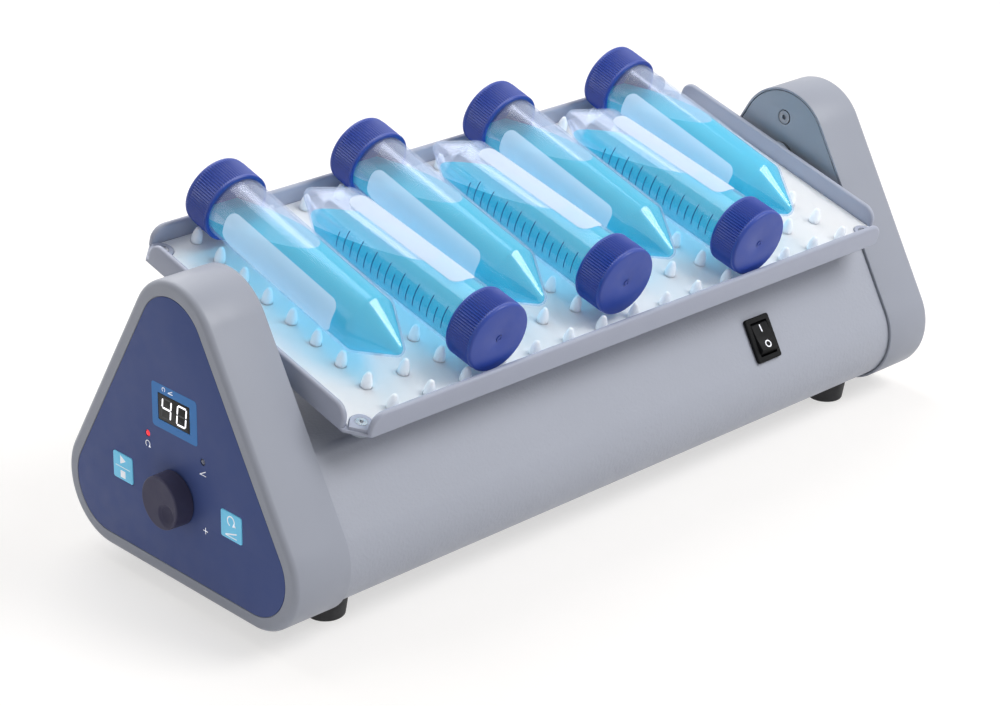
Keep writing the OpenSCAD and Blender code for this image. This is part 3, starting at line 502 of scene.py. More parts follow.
class Build:
    """Collects vertices in millimetres and faces, then makes an object."""

    def __init__(self):
        self.points = []
        self.faces = []

    def add(self, points):
        first = len(self.points)
        self.points += [Vector(p) for p in points]
        return list(range(first, first + len(points)))

    def join(self, other, matrix=None):
        """Takes in the points and faces of another build, moved by matrix."""
        first = len(self.points)
        self.points += [matrix @ p for p in other.points] if matrix else other.points
        self.faces += [tuple(i + first for i in face) for face in other.faces]

    def band(self, a, b, closed=True):
        """Quads between two rings of the same length."""
        n = len(a)
        for i in range(n if closed else n - 1):
            j = (i + 1) % n
            self.faces.append((a[i], a[j], b[j], b[i]))

    def rings(self, rings):
        """Rings of points with bands between them."""
        made = [self.add(r) for r in rings]
        for a, b in zip(made, made[1:]):
            self.band(a, b)
        return made

    def fan(self, ring, tip):
        """Triangles from a ring to one vertex."""
        for i, vertex in enumerate(ring):
            self.faces.append((vertex, ring[(i + 1) % len(ring)], tip))

    def fill(self, outer, holes=()):
        """Face inside a flat ring of vertices, less any holes."""
        loops = [outer, *holes]
        if not holes:
            self.faces.append(tuple(outer))
            return
        every = [i for loop in loops for i in loop]
        for tri in tessellate_polygon([[self.points[i] for i in loop] for loop in loops]):
            self.faces.append(tuple(every[k] for k in tri))

    def object(self, name, material, matrix=None, crease=32):
        """Cleaned mesh object, in metres, with edges sharp above crease degrees."""
        mesh = bpy.data.meshes.new(name)
        mesh.from_pydata([p * MM for p in self.points], [], self.faces)
        if matrix is not None:
            mesh.transform(matrix)
        work = bmesh.new()
        work.from_mesh(mesh)
        bmesh.ops.remove_doubles(work, verts=work.verts, dist=1e-7)
        bmesh.ops.dissolve_degenerate(work, edges=work.edges, dist=1e-7)
        bmesh.ops.recalc_face_normals(work, faces=work.faces)
        work.to_mesh(mesh)
        work.free()
        made = bpy.data.objects.new(name, mesh)
        bpy.context.scene.collection.objects.link(made)
        mesh.materials.append(MATERIALS[material])
        smooth(mesh, crease)
        return made


def smooth(mesh, crease):
    for face in mesh.polygons:
        face.use_smooth = True
    mesh.set_sharp_from_angle(angle=math.radians(crease))


def apply_modifiers(piece):
    """Makes what the modifiers do part of the mesh."""
    bpy.context.view_layer.update()
    graph = bpy.context.evaluated_depsgraph_get()
    mesh = bpy.data.meshes.new_from_object(piece.evaluated_get(graph))
    piece.modifiers.clear()
    piece.data = mesh


def settle(piece, body, slot, *replaced):
    """Ties a finished piece to its CAD body and hides the nodes it stands for; slot is not used."""
    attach(piece, body)
    if replaced:
        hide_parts(*replaced)
    return piece


def lathe(outline, steps=96, closed=True):
    """Turns an (r, z) outline round Z. Points on the axis become single vertices."""
    b = Build()
    made = [b.add(flat(circle(r, steps), z) if r > 1e-6 else [(0, 0, z)]) for r, z in outline]
    for pair in zip(made, made[1:] + made[:1] if closed else made[1:]):
        low, high = sorted(pair, key=len, reverse=True)
        if len(high) > 1:
            b.band(low, high)
        elif len(low) > 1:
            b.fan(low, high[0])
    return b


def slab(outline, z0, z1, bevel=0.0, holes=(), steps=3):
    """Plate of a flat outline between z0 and z1; holes are outlines too."""
    b = Build()
    if bevel:
        turns = [math.radians(90 * i / steps) for i in range(steps + 1)]
        curve = [(bevel * (1 - math.sin(a)), bevel * (1 - math.cos(a))) for a in turns]
        rings = [(t, z0 + rise) for t, rise in curve]
        rings += [(rise, z1 - t) for t, rise in curve]
    else:
        rings = [(0, z0), (0, z1)]
    made = b.rings([flat(shrunk(outline, t), z) for t, z in rings])
    low_holes = [b.add(flat(hole, z0)) for hole in holes]
    high_holes = [b.add(flat(hole, z1)) for hole in holes]
    for low, high in zip(low_holes, high_holes):
        b.band(low, high)
    b.fill(made[0], low_holes)
    b.fill(made[-1], high_holes)
    return b


def shrunk(outline, t):
    """Anticlockwise outline moved inwards by t."""
    return [inward(outline, i, t) for i in range(len(outline))]


def inward(outline, i, t):
    """Point i of an anticlockwise outline, moved inwards by t."""
    if not t:
        return outline[i]
    p0, p1, p2 = (Vector(outline[k % len(outline)]) for k in (i - 1, i, i + 1))
    a, b = (p1 - p0), (p2 - p1)
    if a.length < 1e-9:
        a = b
    if b.length < 1e-9:
        b = a
    na = Vector((-a.y, a.x)).normalized()
    nb = Vector((-b.y, b.x)).normalized()
    n = na + nb
    if n.length < 1e-6:
        return tuple(p1)
    n.normalize()
    return tuple(p1 + n * (t / max(0.3, n.dot(na))))


# ---- frames of the moving parts ----


def moved(x, y, z):
    """Move by millimetres."""
    return Matrix.Translation((x * MM, y * MM, z * MM))


def turned(degrees, axis="X"):
    return Matrix.Rotation(math.radians(degrees), 4, axis)


TRAY_FRAME = moved(0, 0, PIVOT_H) @ turned(TILT)
# A face drawn in x-y with z outwards, stood up on the control panel: x to the viewer's right
PANEL_FRAME = Matrix(((0, 0, -1, 0), (-1, 0, 0, 0), (0, 1, 0, 0), (0, 0, 0, 1)))


def panel_at(x):
    """Panel frame with its z = 0 plane at x millimetres."""
    return moved(x, 0, 0) @ PANEL_FRAME


def front_at(x, z, side=-1):
    """Frame on the sloping front (side -1) or rear (side 1) panel, z outwards."""
    front = moved(-side * x, -side_y(z, BODY_INSET), z) @ turned(90 - SLOPE)
    return front if side < 0 else turned(180, "Z") @ front


# ---- housings and end plates ----


def face_holes():
    """Openings in the control face, in the y-z plane."""
    holes = [window_hole(0.8)]
    for s in (-1, 1):
        holes.append(rounded_rect(KEY_W + 0.4, KEY_H + 0.4, 1.2, 6, (s * KEY_Y, KEY_Z)))
        holes.append(circle(LED_R + 0.15, 24, (s * LED_Y, LED_Z)))
    holes.append(circle(3.6, 32, (0, KNOB_Z)))
    return holes


def window_hole(play):
    return rounded_rect(WINDOW_W + play, WINDOW_H + play, 0.3, 2, (0, DISPLAY_Z))


def housing(name, x_face, x_edge, with_panel):
    """Hollow shell with a rounded outer edge, open towards the tray."""
    s = 1 if x_edge > x_face else -1
    b = Build()
    lip = 0.35
    shoulder = x_edge - s * PLATE_T
    rings = [(shoulder, WALL), (shoulder, LIP_T), (x_edge - s * 0.1, LIP_T), (x_edge, LIP_T - 0.1),
             (x_edge, lip), (x_edge - s * lip * 0.3, lip * 0.3), (x_edge - s * lip, 0)]
    steps = 10
    for i in range(steps + 1):
        a = math.radians(90 * i / steps)
        x = x_face + s * FACE_ROUND * (1 - math.sin(a))
        rings.append((x, FACE_ROUND * (1 - math.cos(a))))
    if with_panel:
        soft = 0.15
        rings += [(x_face, RIM_W - soft), (x_face + s * soft, RIM_W), (x_face + s * RECESS, RIM_W)]
    made = b.rings([yz(profile(t), x) for x, t in rings])
    x_inner = x_face + s * WALL
    inner = b.add(yz(profile(WALL), x_inner))
    b.band(made[0], inner)
    holes = face_holes() if with_panel else []
    front = [b.add(yz(h, x_face + s * RECESS)) for h in holes]
    back = [b.add(yz(h, x_inner)) for h in holes]
    for low, high in zip(front, back):
        b.band(low, high)
    b.fill(made[-1], front)
    b.fill(inner, back)
    return b.object(name, "housing")


def end_plate(name, x_face, s):
    """Plate whose visible face is at x_face; s is the direction towards its housing."""
    b = Build()
    soft = 0.4
    edge = LIP_T + PLATE_GAP
    rings = [(0, edge + soft), (soft * 0.3, edge + soft * 0.3), (soft, edge), (PLATE_T, edge)]
    rings += [(PLATE_T, WALL + 0.2), (PLATE_FULL, WALL + 0.2)]
    made = b.rings([yz(profile(t), x_face + s * x) for x, t in rings])
    x0, x1 = x_face + s * PLATE_FULL, x_face + s * (PLATE_FULL + BOSS_L)
    loops = []

    def opening(*sections):
        """Hole through the plate, from outlines and their x from face to back."""
        rings = b.rings([yz(outline, x) for outline, x in sections])
        loops.append((rings[0], rings[-1]))

    bush = circle(BUSH_R, 48, (0, PIVOT_H))
    opening((bush, x_face), (bush, x0))
    # Counterbored holes of the three screws
    bore, seat, shank = 4.0, 2.5, 2.15
    for place in ((0, APEX_Z + 13.4), (-BASE_HALF, BASE_Z), (BASE_HALF, BASE_Z)):
        steps = ((bore + 0.35, 0), (bore, 0.3), (bore, seat), (shank, seat), (shank, PLATE_FULL))
        opening(*((circle(r, 40, place), x_face + s * x) for r, x in steps))
    if s < 0:
        for hole in (circle(MOTOR_HOLE_R, 48, (0, MOTOR_Z)),
                     rounded_rect(SENSOR_HOLE, SENSOR_HOLE, 0.3, 2, SENSOR_YZ)):
            opening((hole, x_face), (hole, x0))
    b.fill(made[0], [face for face, _ in loops])
    b.fill(made[-1], [back for _, back in loops])
    # The boss that carries the bush
    boss = circle(BOSS_R, 48, (0, PIVOT_H))
    b.rings([yz(outline, x) for outline, x in ((boss, x0), (boss, x1), (bush, x1), (bush, x0))])
    return b.object(name, "plate")


ENDS = (("left", X_LEFT, PLATE_LEFT, -1), ("right", X_RIGHT, PLATE_RIGHT, 1))
for side, x_outer, x_plate, _ in ENDS:
    settle(housing(f"{side}_housing_shell", x_outer, x_plate, side == "left"),
           "base", "housing_paint", f"{side}_housing")
for side, _, x_plate, to_housing in ENDS:
    settle(end_plate(f"{side}_inner_plate", x_plate, to_housing),
           "base", "plate_paint", f"{side}_end_plate")

# ---- body cover ----


def body_cover():
    """Bent sheet: bottom lips, rounded lower edges, sloping panels, bends and deck."""
    bend_z = DECK_H - BEND_R
    bend_y = side_y(bend_z, BODY_INSET + BEND_R)
    steps = 32

    def half(t):
        """Front half of the section, t inside the outer surface."""
        return (
            [(LIP_W - BASE_HALF, BODY_LOW + t)]
            + arc((-BASE_HALF, BASE_Z), BASE_R - BODY_INSET - t, 270, 180 - SLOPE, steps)
            + arc((-bend_y, bend_z), BEND_R - t, 180 - SLOPE, 90, 10)
        )

    def path(t):
        left = half(t)
        return left + [(-y, z) for y, z in reversed(left)]

    b = Build()
    loops = []
    for x in (PLATE_LEFT, PLATE_RIGHT):
        outer = b.add(yz(path(0), x))
        inner = b.add(yz(path(SHEET_T), x))
        loops.append((outer, inner))
        b.band(outer, inner, closed=False)
    (outer0, inner0), (outer1, inner1) = loops
    b.band(outer0, outer1, closed=False)
    b.band(inner0, inner1, closed=False)
    for k in (0, -1):
        b.faces.append((outer0[k], inner0[k], inner1[k], outer1[k]))
    return b.object("body_sheet", "body")


def cut_opening(target, w, h, place):
    """Takes a rectangular hole out of target for good."""
    cutter = slab(rounded_rect(w, h, 0.3, 2), -5, 5).object("cutter", "body", place)
    m = target.modifiers.new("cut", "BOOLEAN")
    m.operation = "DIFFERENCE"
    m.solver = "EXACT"
    m.object = cutter
    apply_modifiers(target)
    bpy.data.objects.remove(cutter)


cover = body_cover()
cut_opening(cover, SWITCH_W - 3.4, SWITCH_L - 3.4, front_at(SWITCH_X, SWITCH_Z))
cut_opening(cover, *INLET_HOLE, front_at(INLET_X, INLET_Z, 1))
smooth(cover.data, 32)
settle(cover, "base", "body_paint", "body_cover")

# ---- control panel ----


def on_panel(y, z):
    """Panel drawing coordinates of a point of the y-z plane."""
    return (-y, z)


def panel_film():
    holes = [[on_panel(*p) for p in hole] for hole in face_holes()]
    outline = [on_panel(*p) for p in reversed(profile(RIM_W + 0.3))]
    film = slab(outline, 0, FILM_T, 0.12, holes)
    settle(film.object("panel_overlay", "film", panel_at(FILM_X + FILM_T)),
           "base", "film", "panel_film")


panel_film()


def sticker(name, outlines, material, x=FILM_X, holes=()):
    """Flat print on the panel, from outlines in panel coordinates."""
    b = Build()
    for outline in outlines:
        b.join(slab(outline, 0, INK_T, 0, holes))
    return b.object(name, material, panel_at(x))


def stroke(a, b, w):
    """Straight line of width w from a to b with round ends."""
    a, b = Vector(a), Vector(b)
    turn = math.degrees(math.atan2(b.y - a.y, b.x - a.x))
    return arc(b, w / 2, turn - 90, turn + 90, 6) + arc(a, w / 2, turn + 90, turn + 270, 6)


def bow(centre, r, start, end, w, steps=24):
    """Arc-shaped line of width w."""
    return arc(centre, r + w / 2, start, end, steps) + arc(centre, r - w / 2, end, start, steps)


display_frame = rounded_rect(31.3, 21.2, 1.6, 6, (0.35, DISPLAY_Z + 0.1))
settle(sticker("display_frame", [display_frame], "bezel", holes=[window_hole(0.4)]), "base", "film")
window = slab(rounded_rect(WINDOW_W, WINDOW_H, 0.4, 4, (0, DISPLAY_Z)), -1.8, 0, 0.1)
settle(window.object("display_glass", "window", panel_at(FILM_X)),
       "base", "window", "display_window")


def seven_segments(x, wanted):
    """Outlines of the wanted segments of the digit whose left edge is at x."""
    w, h = DIGIT_W, DIGIT_H
    gap, lean, t = 0.18, 0.12, 0.85
    places = {
        "a": ((0, h), (w, h)), "b": ((w, h), (w, h / 2)), "c": ((w, h / 2), (w, 0)),
        "d": ((0, 0), (w, 0)), "e": ((0, h / 2), (0, 0)), "f": ((0, h), (0, h / 2)),
        "g": ((0, h / 2), (w, h / 2)),
    }
    outlines = []
    for letter in wanted:
        a, b = (Vector(end) for end in places[letter])
        along = (b - a).normalized()
        side = Vector((-along.y, along.x)) * t / 2
        a, b = a + along * gap, b - along * gap
        nib = along * t / 2
        shape = [a, a + nib - side, b - nib - side, b, b - nib + side, a + nib + side]
        outlines.append([(x + p.x + p.y * lean, DIGIT_Z + p.y) for p in shape])
    return outlines


for name, material, part in (("display_digits", "digit", 1), ("display_digits_off", "ghost", 2)):
    shapes = [shape for digit in DIGITS for shape in seven_segments(digit[0], digit[part])]
    settle(sticker(name, shapes, material), "base", "window")


def lamp(name, y, material, slot, node):
    """Round indicator lamp on the board behind the film."""
    outline = [(0, 0), (1.9, 0), (1.9, 1), (LED_R, 1)] + arc((0, 9.3 - LED_R), LED_R, 0, 90, 8)
    place = moved(FILM_X + 9, y, LED_Z) @ PANEL_FRAME
    settle(lathe(outline, 32).object(name, material, place), "base", slot, node)


lamp("speed_lamp", LED_Y, "led_on", "lamp_lit", "speed_led")
lamp("tilt_lamp", -LED_Y, "led_off", "lamp_off", "tilt_led")


def knob():
    """Turned knob with a domed edge and a finger dimple pressed into its face."""
    gap = 0.4
    top = KNOB_H - gap
    edge = 0.8
    face_r = KNOB_R - 0.2 - edge
    rings = [(4.6, 3.4), (4.6, 0), (KNOB_R - 0.15, 0), (KNOB_R, 0.15)]
    rings += arc((face_r, top - edge), edge, 0, 90, 8)
    fine = 44
    rings += [(face_r * (1 - i / fine), top) for i in range(1, fine)]
    up = math.sqrt(DIMPLE_BALL_R ** 2 - DIMPLE_R ** 2)
    turn = math.radians(DIMPLE_ANGLE - 180)
    centre = Vector((DIMPLE_OFF * math.cos(turn), -DIMPLE_OFF * math.sin(turn)))
    soft = 0.7

    def pressed(x, y, z):
        away = (Vector((x, y)) - centre).length
        if z < top - 1e-6 or away > DIMPLE_R + soft:
            return z
        if away < DIMPLE_R - soft:
            return top + up - math.sqrt(DIMPLE_BALL_R ** 2 - away ** 2)
        # A short blend rounds the dimple's rim
        t = (DIMPLE_R + soft - away) / (2 * soft)
        drop = math.sqrt(DIMPLE_BALL_R ** 2 - (DIMPLE_R - soft) ** 2) - up
        return top - drop * t * t * (3 - 2 * t)

    b = Build()
    made = b.rings([[(x, y, pressed(x, y, z)) for x, y in circle(r, 128)] for r, z in rings])
    b.fan(made[-1], b.add([(0, 0, pressed(0, 0, top))])[0])
    b.fill(made[0])
    place = moved(FILM_X - gap, 0, KNOB_Z) @ PANEL_FRAME
    settle(b.object("knob_turned", "knob", place, 40), "speed_knob", "knob_plastic", "knob")


knob()


def key(name, y, node, body):
    """Round-cornered key that stands proud of the film, with a flange behind the face."""
    centre = on_panel(y, KEY_Z)
    b = slab(rounded_rect(KEY_W, KEY_H, 1.1, 6, centre), -4.0, KEY_RISE, 0.3)
    b.join(slab(rounded_rect(KEY_W + 2.6, KEY_H + 2.6, 1.1, 4, centre), -4.0, -3.1))
    settle(b.object(name, "key", panel_at(FILM_X)), body, "key_plastic", node)


key("run_key", KEY_Y, "run_stop_key", "run_stop")
key("mode_key_cap", -KEY_Y, "mode_key", "mode")


def key_marks():
    """Run and stop signs on one key, speed and tilt signs on the other."""
    top = FILM_X - KEY_RISE
    u, z = on_panel(KEY_Y, KEY_Z)
    run = [(u - 1.6, z + 1.4), (u + 2.2, z + 3.5), (u - 1.6, z + 5.6)]
    stop = [(u - 1.7, z - 5.2), (u + 1.7, z - 5.2), (u + 1.7, z - 1.8), (u - 1.7, z - 1.8)]
    line = [(u - 5.2, z - 0.2), (u + 5.2, z - 0.2), (u + 5.2, z + 0.1), (u - 5.2, z + 0.1)]
    settle(sticker("run_key_marks", [run, stop, line], "ink", top), "run_stop", "key_plastic")
    u, z = on_panel(-KEY_Y, KEY_Z)
    turn = bow((u, z + 2.6), 2.3, -40, 250, 0.55)
    head = [(u + 0.9, z + 0.2), (u + 3.3, z + 0.6), (u + 1.9, z + 2.3)]
    tilt = stroke((u - 3.6, z - 4.6), (u + 3.6, z - 2.4), 0.6)
    level = stroke((u - 3.6, z - 4.9), (u + 3.6, z - 4.9), 0.35)
    settle(sticker("mode_key_marks", [turn, head, tilt, level], "ink", top), "mode", "key_plastic")


def panel_marks():
    """Plain signs on the film: plus and minus, and signs by the lamps and the display."""
    plus, minus = (20.2, 43.2), -20.2
    speed, tilt = -LED_Y, LED_Y
    z = LED_Z
    marks = [
        stroke((plus[0] - 1.4, plus[1]), (plus[0] + 1.4, plus[1]), 0.45),
        stroke((plus[0], plus[1] - 1.4), (plus[0], plus[1] + 1.4), 0.45),
        stroke((minus - 1.4, plus[1]), (minus + 1.4, plus[1]), 0.45),
        bow((speed, z - 5.0), 1.5, -50, 240, 0.4),
        [(speed + 0.4, z - 6.6), (speed + 2.1, z - 6.4), (speed + 1.2, z - 5.1)],
        stroke((tilt - 2.0, z - 6.2), (tilt + 2.0, z - 6.2), 0.35),
        stroke((tilt - 2.0, z - 6.2), (tilt + 1.8, z - 4.1), 0.4),
        stroke((-3.6, 100.6), (-0.6, 100.6), 0.4),
        stroke((-3.6, 100.6), (-0.8, 102.0), 0.4),
        bow((-6.8, 101.2), 0.95, -50, 240, 0.35),
    ]
    settle(sticker("panel_marks", marks, "ink", FILM_X - INK_T), "base", "film")


key_marks()
panel_marks()

# ---- power switch ----


def power_switch():
    """Bezel with its box, rocker, and the marks on the rocker."""
    place = front_at(SWITCH_X, SWITCH_Z)
    well = rounded_rect(11.8, 17.3, 0.4, 3)
    bezel = slab(rounded_rect(SWITCH_W, SWITCH_L, 1.3, 6), 0, 2.0, 0.6, [well])
    bezel.join(slab(rounded_rect(SWITCH_W - 4, SWITCH_L - 4, 0.4, 3), -14.2, 0.2, 0, [well]))
    settle(bezel.object("switch_bezel", "switch", place), "base", "black_plastic", "switch_housing")

    # Rocker: its two finger faces meet in a shallow V
    r, flat_half = ROCKER_R, 0.8
    side = arc((0, 0), r, -20, ROCKER_RISE, 10)
    side += [(flat_half, ROCKER_MID), (0, ROCKER_MID - 0.1), (-flat_half, ROCKER_MID)]
    side += arc((0, 0), r, 180 - ROCKER_RISE, 200, 10) + [(-3, -4.6), (3, -4.6)]
    half, soft = ROCKER_HALF, 0.35
    ends = [(half - soft, 0), (half - soft * 0.3, soft * 0.3), (half, soft)]
    b = Build()
    made = b.rings([yz(shrunk(side, t), x) for x, t in [(-x, t) for x, t in reversed(ends)] + ends])
    b.fill(made[0])
    b.fill(made[-1])
    tilt = place @ moved(0, 0, -2) @ turned(-ROCKER_SWING)
    settle(b.object("switch_key", "switch", tilt), "power_rocker", "black_plastic", "switch_rocker")

    # On and off marks, one on each finger face
    far, top = r * math.cos(math.radians(ROCKER_RISE)), r * math.sin(math.radians(ROCKER_RISE))
    slope = math.atan2(top - ROCKER_MID, far - flat_half)
    marks = Build()
    for y, outline, holes in ((4.3, rounded_rect(0.75, 3.8, 0.2, 3), []),
                              (-4.2, circle(1.95, 32), [circle(1.3, 32)])):
        rise = ROCKER_MID + (abs(y) - flat_half) * math.tan(slope)
        face = Matrix.Translation((0, y, rise)) @ turned(math.copysign(math.degrees(slope), y))
        marks.join(slab(outline, 0, INK_T, 0, holes), face)
    settle(marks.object("switch_marks", "ink", tilt), "power_rocker", "black_plastic")


power_switch()

# ---- feet ----


def feet():
    """Four flared feet, each hollow for its screw."""
    outline = [(4, 0.3), (4.3, 0), (8.2, 0)] + arc((8.1, 0.9), 0.9, -60, -10, 4)
    outline += [(10.2, BODY_LOW - 0.6), (10.3, BODY_LOW - 0.2), (10.1, BODY_LOW)]
    outline += [(2.2, BODY_LOW), (2.2, 5.5), (4, 5.5)]
    b = Build()
    for x in (PLATE_LEFT + 11, PLATE_RIGHT - 13):
        for y in (-FOOT_Y, FOOT_Y):
            b.join(lathe(outline, 64), Matrix.Translation((x, y, 0)))
    settle(b.object("rubber_feet", "foot"), "base", "foot_rubber", "feet")


feet()

# ---- tray ----


def bevelled(piece, width, segments):
    """Rounds the piece's sharp edges to width millimetres."""
    m = piece.modifiers.new("edges", "BEVEL")
    m.width = width * MM
    m.segments = segments
    m.limit_method = "ANGLE"
    m.angle_limit = math.radians(40)
    m.harden_normals = False
    apply_modifiers(piece)
    smooth(piece.data, 50)
    return piece


def flange_outline(length):
    """Flange seen square to it, centred on x = 0, standing on z = 0."""
    half, rise = length / 2, FLANGE_H - FLANGE_R
    return (
        [(-half, 0), (half, 0)]
        + arc((half - FLANGE_R, rise), FLANGE_R, 0, 90, 12)
        + arc((FLANGE_R - half, rise), FLANGE_R, 90, 180, 12)
    )


def tray_pan():
    """Floor with cut corners, four hemmed flanges and the screws' tabs, joined."""
    outline = []
    for sx, sy in CORNERS:
        a = (TRAY_CX + sx * TRAY_HALF_X, sy * (TRAY_HALF - CORNER_CUT))
        b = (TRAY_CX + sx * (TRAY_HALF_X - CORNER_CUT), sy * TRAY_HALF)
        outline += [a, b] if sx * sy > 0 else [b, a]
    floor_ = slab(outline, FLOOR_N, FLOOR_N + FLOOR_T).object("pan_floor", "tray", TRAY_FRAME)
    pieces = [bevelled(floor_, 0.3, 2)]

    def flange(length, x_row, y_row):
        """Flange stood on the floor by the first two rows of its placing matrix."""
        stand = Matrix((x_row, y_row, (0, 1, 0, FLOOR_N * MM), (0, 0, 0, 1)))
        b = slab(flange_outline(length), 0, FLANGE_T)
        pieces.append(bevelled(b.object("pan_flange", "tray", TRAY_FRAME @ stand), 1.35, 5))

    for y in (FLANGE_T - TRAY_HALF, TRAY_HALF):
        flange(2 * (TRAY_HALF_X - CORNER_CUT) + 2.5, (1, 0, 0, TRAY_CX * MM), (0, 0, -1, y * MM))
    for x in (TRAY_XA, TRAY_XB - FLANGE_T):
        flange(2 * (TRAY_HALF - CORNER_CUT) - 2, (0, 0, 1, x * MM), (1, 0, 0, 0))
    for sx in (-1, 1):
        for sy in (-1, 1):
            x, y = tab_centre(sx, sy)
            away = math.atan2(sy, sx)
            turn = math.degrees(away)
            tab = arc((x, y), TAB_R, turn + 90, turn + 270, 20)
            reach = Vector((math.cos(away), math.sin(away))) * 5.4
            tab += [tuple(Vector(tab[k]) + reach) for k in (-1, 0)]
            b = slab(tab, FLOOR_N + 0.2, FLOOR_N + TAB_T, 0, [circle(TAB_HOLE_R, 32, (x, y))])
            pieces.append(bevelled(b.object("pan_tab", "tray", TRAY_FRAME), 0.5, 3))
    first = pieces[0]
    with bpy.context.temp_override(active_object=first, object=first, selected_objects=pieces,
                                   selected_editable_objects=pieces):
        bpy.ops.object.join()
    first.name = "tray_pan_sheet"
    settle(first, "tray", "tray_paint", "tray_pan")


def tab_centre(sx, sy):
    """Place of the screw in the tray corner with signs sx and sy."""
    return TRAY_CX + sx * (TRAY_HALF_X - TAB_X), sy * (TRAY_HALF - TAB_Y)


tray_pan()


def peg_centre(i, j):
    return (TRAY_CX + (i - (PEG_COLS - 1) / 2) * PEG_DX, (j - (PEG_ROWS - 1) / 2) * PEG_DY)


def tray_mat():
    """Rubber sheet with its corners cut round the screws, and the pegs moulded on it."""
    half_x = TRAY_HALF_X - FLANGE_T - 0.3
    half_y = TRAY_HALF - FLANGE_T - 0.3
    outline = []
    r = TAB_R + 0.5
    for sx, sy in CORNERS:
        centre = tab_centre(sx, sy)
        # The notch is a round end about the screw that runs out to the corner
        away = math.atan2(sy, sx)
        side = Vector((-math.sin(away), math.cos(away))) * r
        out = Vector((math.cos(away), math.sin(away)))
        ends = []
        for s in (-1, 1):
            p = Vector(centre) + side * s
            reach_x = (TRAY_CX + sx * half_x - p.x) / out.x
            reach_y = (sy * half_y - p.y) / out.y
            ends.append(tuple(p + out * min(reach_x, reach_y)))
        turn = math.degrees(away)
        outline += [ends[0], *arc(centre, r, turn - 90, turn - 270, 16), ends[1]]
    sheet = slab(outline, MAT_N, MAT_TOP, 0.25)
    # A peg: fillet at its foot, bulging flank and round tip
    tip_z = PEG_H - PEG_TIP_R
    waist, foot = PEG_D / 2, 0.35
    low = foot * 1.3
    shape = arc((waist + foot, foot), foot, 270, 185, 4)
    shape += [(waist + (PEG_TIP_R - waist) * t ** 2.6, low + (tip_z + 0.2 - low) * t)
              for t in (0.2, 0.4, 0.6, 0.75, 0.88, 0.97)]
    shape += arc((0, tip_z), PEG_TIP_R, 20, 90, 6)[:-1] + [(0, PEG_H)]
    peg = lathe(shape, 24, closed=False)
    for i in range(PEG_COLS):
        for j in range(PEG_ROWS):
            sheet.join(peg, Matrix.Translation((*peg_centre(i, j), MAT_TOP)))
    settle(sheet.object("peg_mat", "mat", TRAY_FRAME, 40), "tray", "mat_rubber", "tray_mat")


tray_mat()

# ---- tubes ----


def seat_n(r):
    """Height over the tray of the axis of a round of radius r that lies between two pegs."""
    reach = r + PEG_TIP_R + SEAT_GAP
    return MAT_TOP + PEG_H - PEG_TIP_R + math.sqrt(reach ** 2 - (PEG_DX / 2) ** 2)


# The cap lies on the outermost pegs and the tube's low end six rows further
TUBE_ANGLE = math.degrees(math.atan((seat_n(CAP_R) - seat_n(TUBE_LOW_R)) / (6 * PEG_DY)))


def axis_n(v):
    """Height over the tray of a tube's axis at distance v from the tray's middle line."""
    return seat_n(CAP_R) + (v - 4 * PEG_DY) * math.tan(math.radians(TUBE_ANGLE))


def tube_frame(i):
    """Frame of tube i: origin in the cap's face, z along the tube to its tip."""
    s, v = TUBE_SIDES[i], CAP_FACE[i]
    x = peg_centre(0, 0)[0] + PEG_DX * (2 * i + 0.5)
    return TRAY_FRAME @ moved(x, s * v, axis_n(v)) @ turned(s * (90 + TUBE_ANGLE))


def tube_outline(w, steps=8):
    """Outer surface of a tube, moved inwards by w: from the neck to the tip."""
    cone_end = TUBE_L - TIP_R
    flank = math.hypot(TUBE_LOW_R, cone_end - SHOULDER)
    tilt = math.degrees(math.asin((TUBE_LOW_R - TIP_R) / flank))
    neck = [(TUBE_R - 0.3, 2.2), (TUBE_R - 0.3, CAP_H + 0.5)]
    collar = [(TUBE_R + 0.1, CAP_H + 1.0), (TUBE_R, CAP_H + 1.6)]
    turn = [(TUBE_LOW_R, SHOULDER - 1.2), (TUBE_LOW_R - 0.12, SHOULDER - 0.3),
            (TUBE_LOW_R - 0.5, SHOULDER + 0.6)]
    tip = arc((0, cone_end), TIP_R - w, tilt, 90, steps)
    # The last point lies on the axis
    return [(r - w, z) for r, z in neck + collar + turn] + tip[:-1] + [(0, tip[-1][1])]


def radius_at(z):
    """Outer radius of the straight part of the tube at distance z from the cap's face."""
    return TUBE_R + (TUBE_LOW_R - TUBE_R) * (z - CAP_H) / (SHOULDER - CAP_H)


def tube_piece(i, b, part, material, crease=30):
    """Object of a build that is drawn in the frame of tube i."""
    return b.object(f"tube_{i + 1}_{part}", material, tube_frame(i), crease)


def settle_tube(i, piece, slot, *replaced):
    """Ties a piece to tube set i; replaced are node names less their number."""
    settle(piece, f"tube_{i + 1}_set", slot, *(f"{node}_{i + 1}" for node in replaced))


def tube_shell(i):
    b = lathe(tube_outline(0) + tube_outline(TUBE_WALL)[::-1])
    settle_tube(i, tube_piece(i, b, "shell", "clear"), "clear_tube", "tube")


def cap_ring(r, z, depth=0.0):
    """Ring round the cap with ribs of the given depth."""
    per = 6
    steps = RIBS * per
    points = []
    for k in range(steps):
        a = 2 * math.pi * k / steps
        rib = 0.5 + 0.5 * math.cos(2 * math.pi * (k % per) / per)
        reach = r - depth * (1 - rib) ** 0.7
        points.append((reach * math.cos(a), reach * math.sin(a), z))
    return points


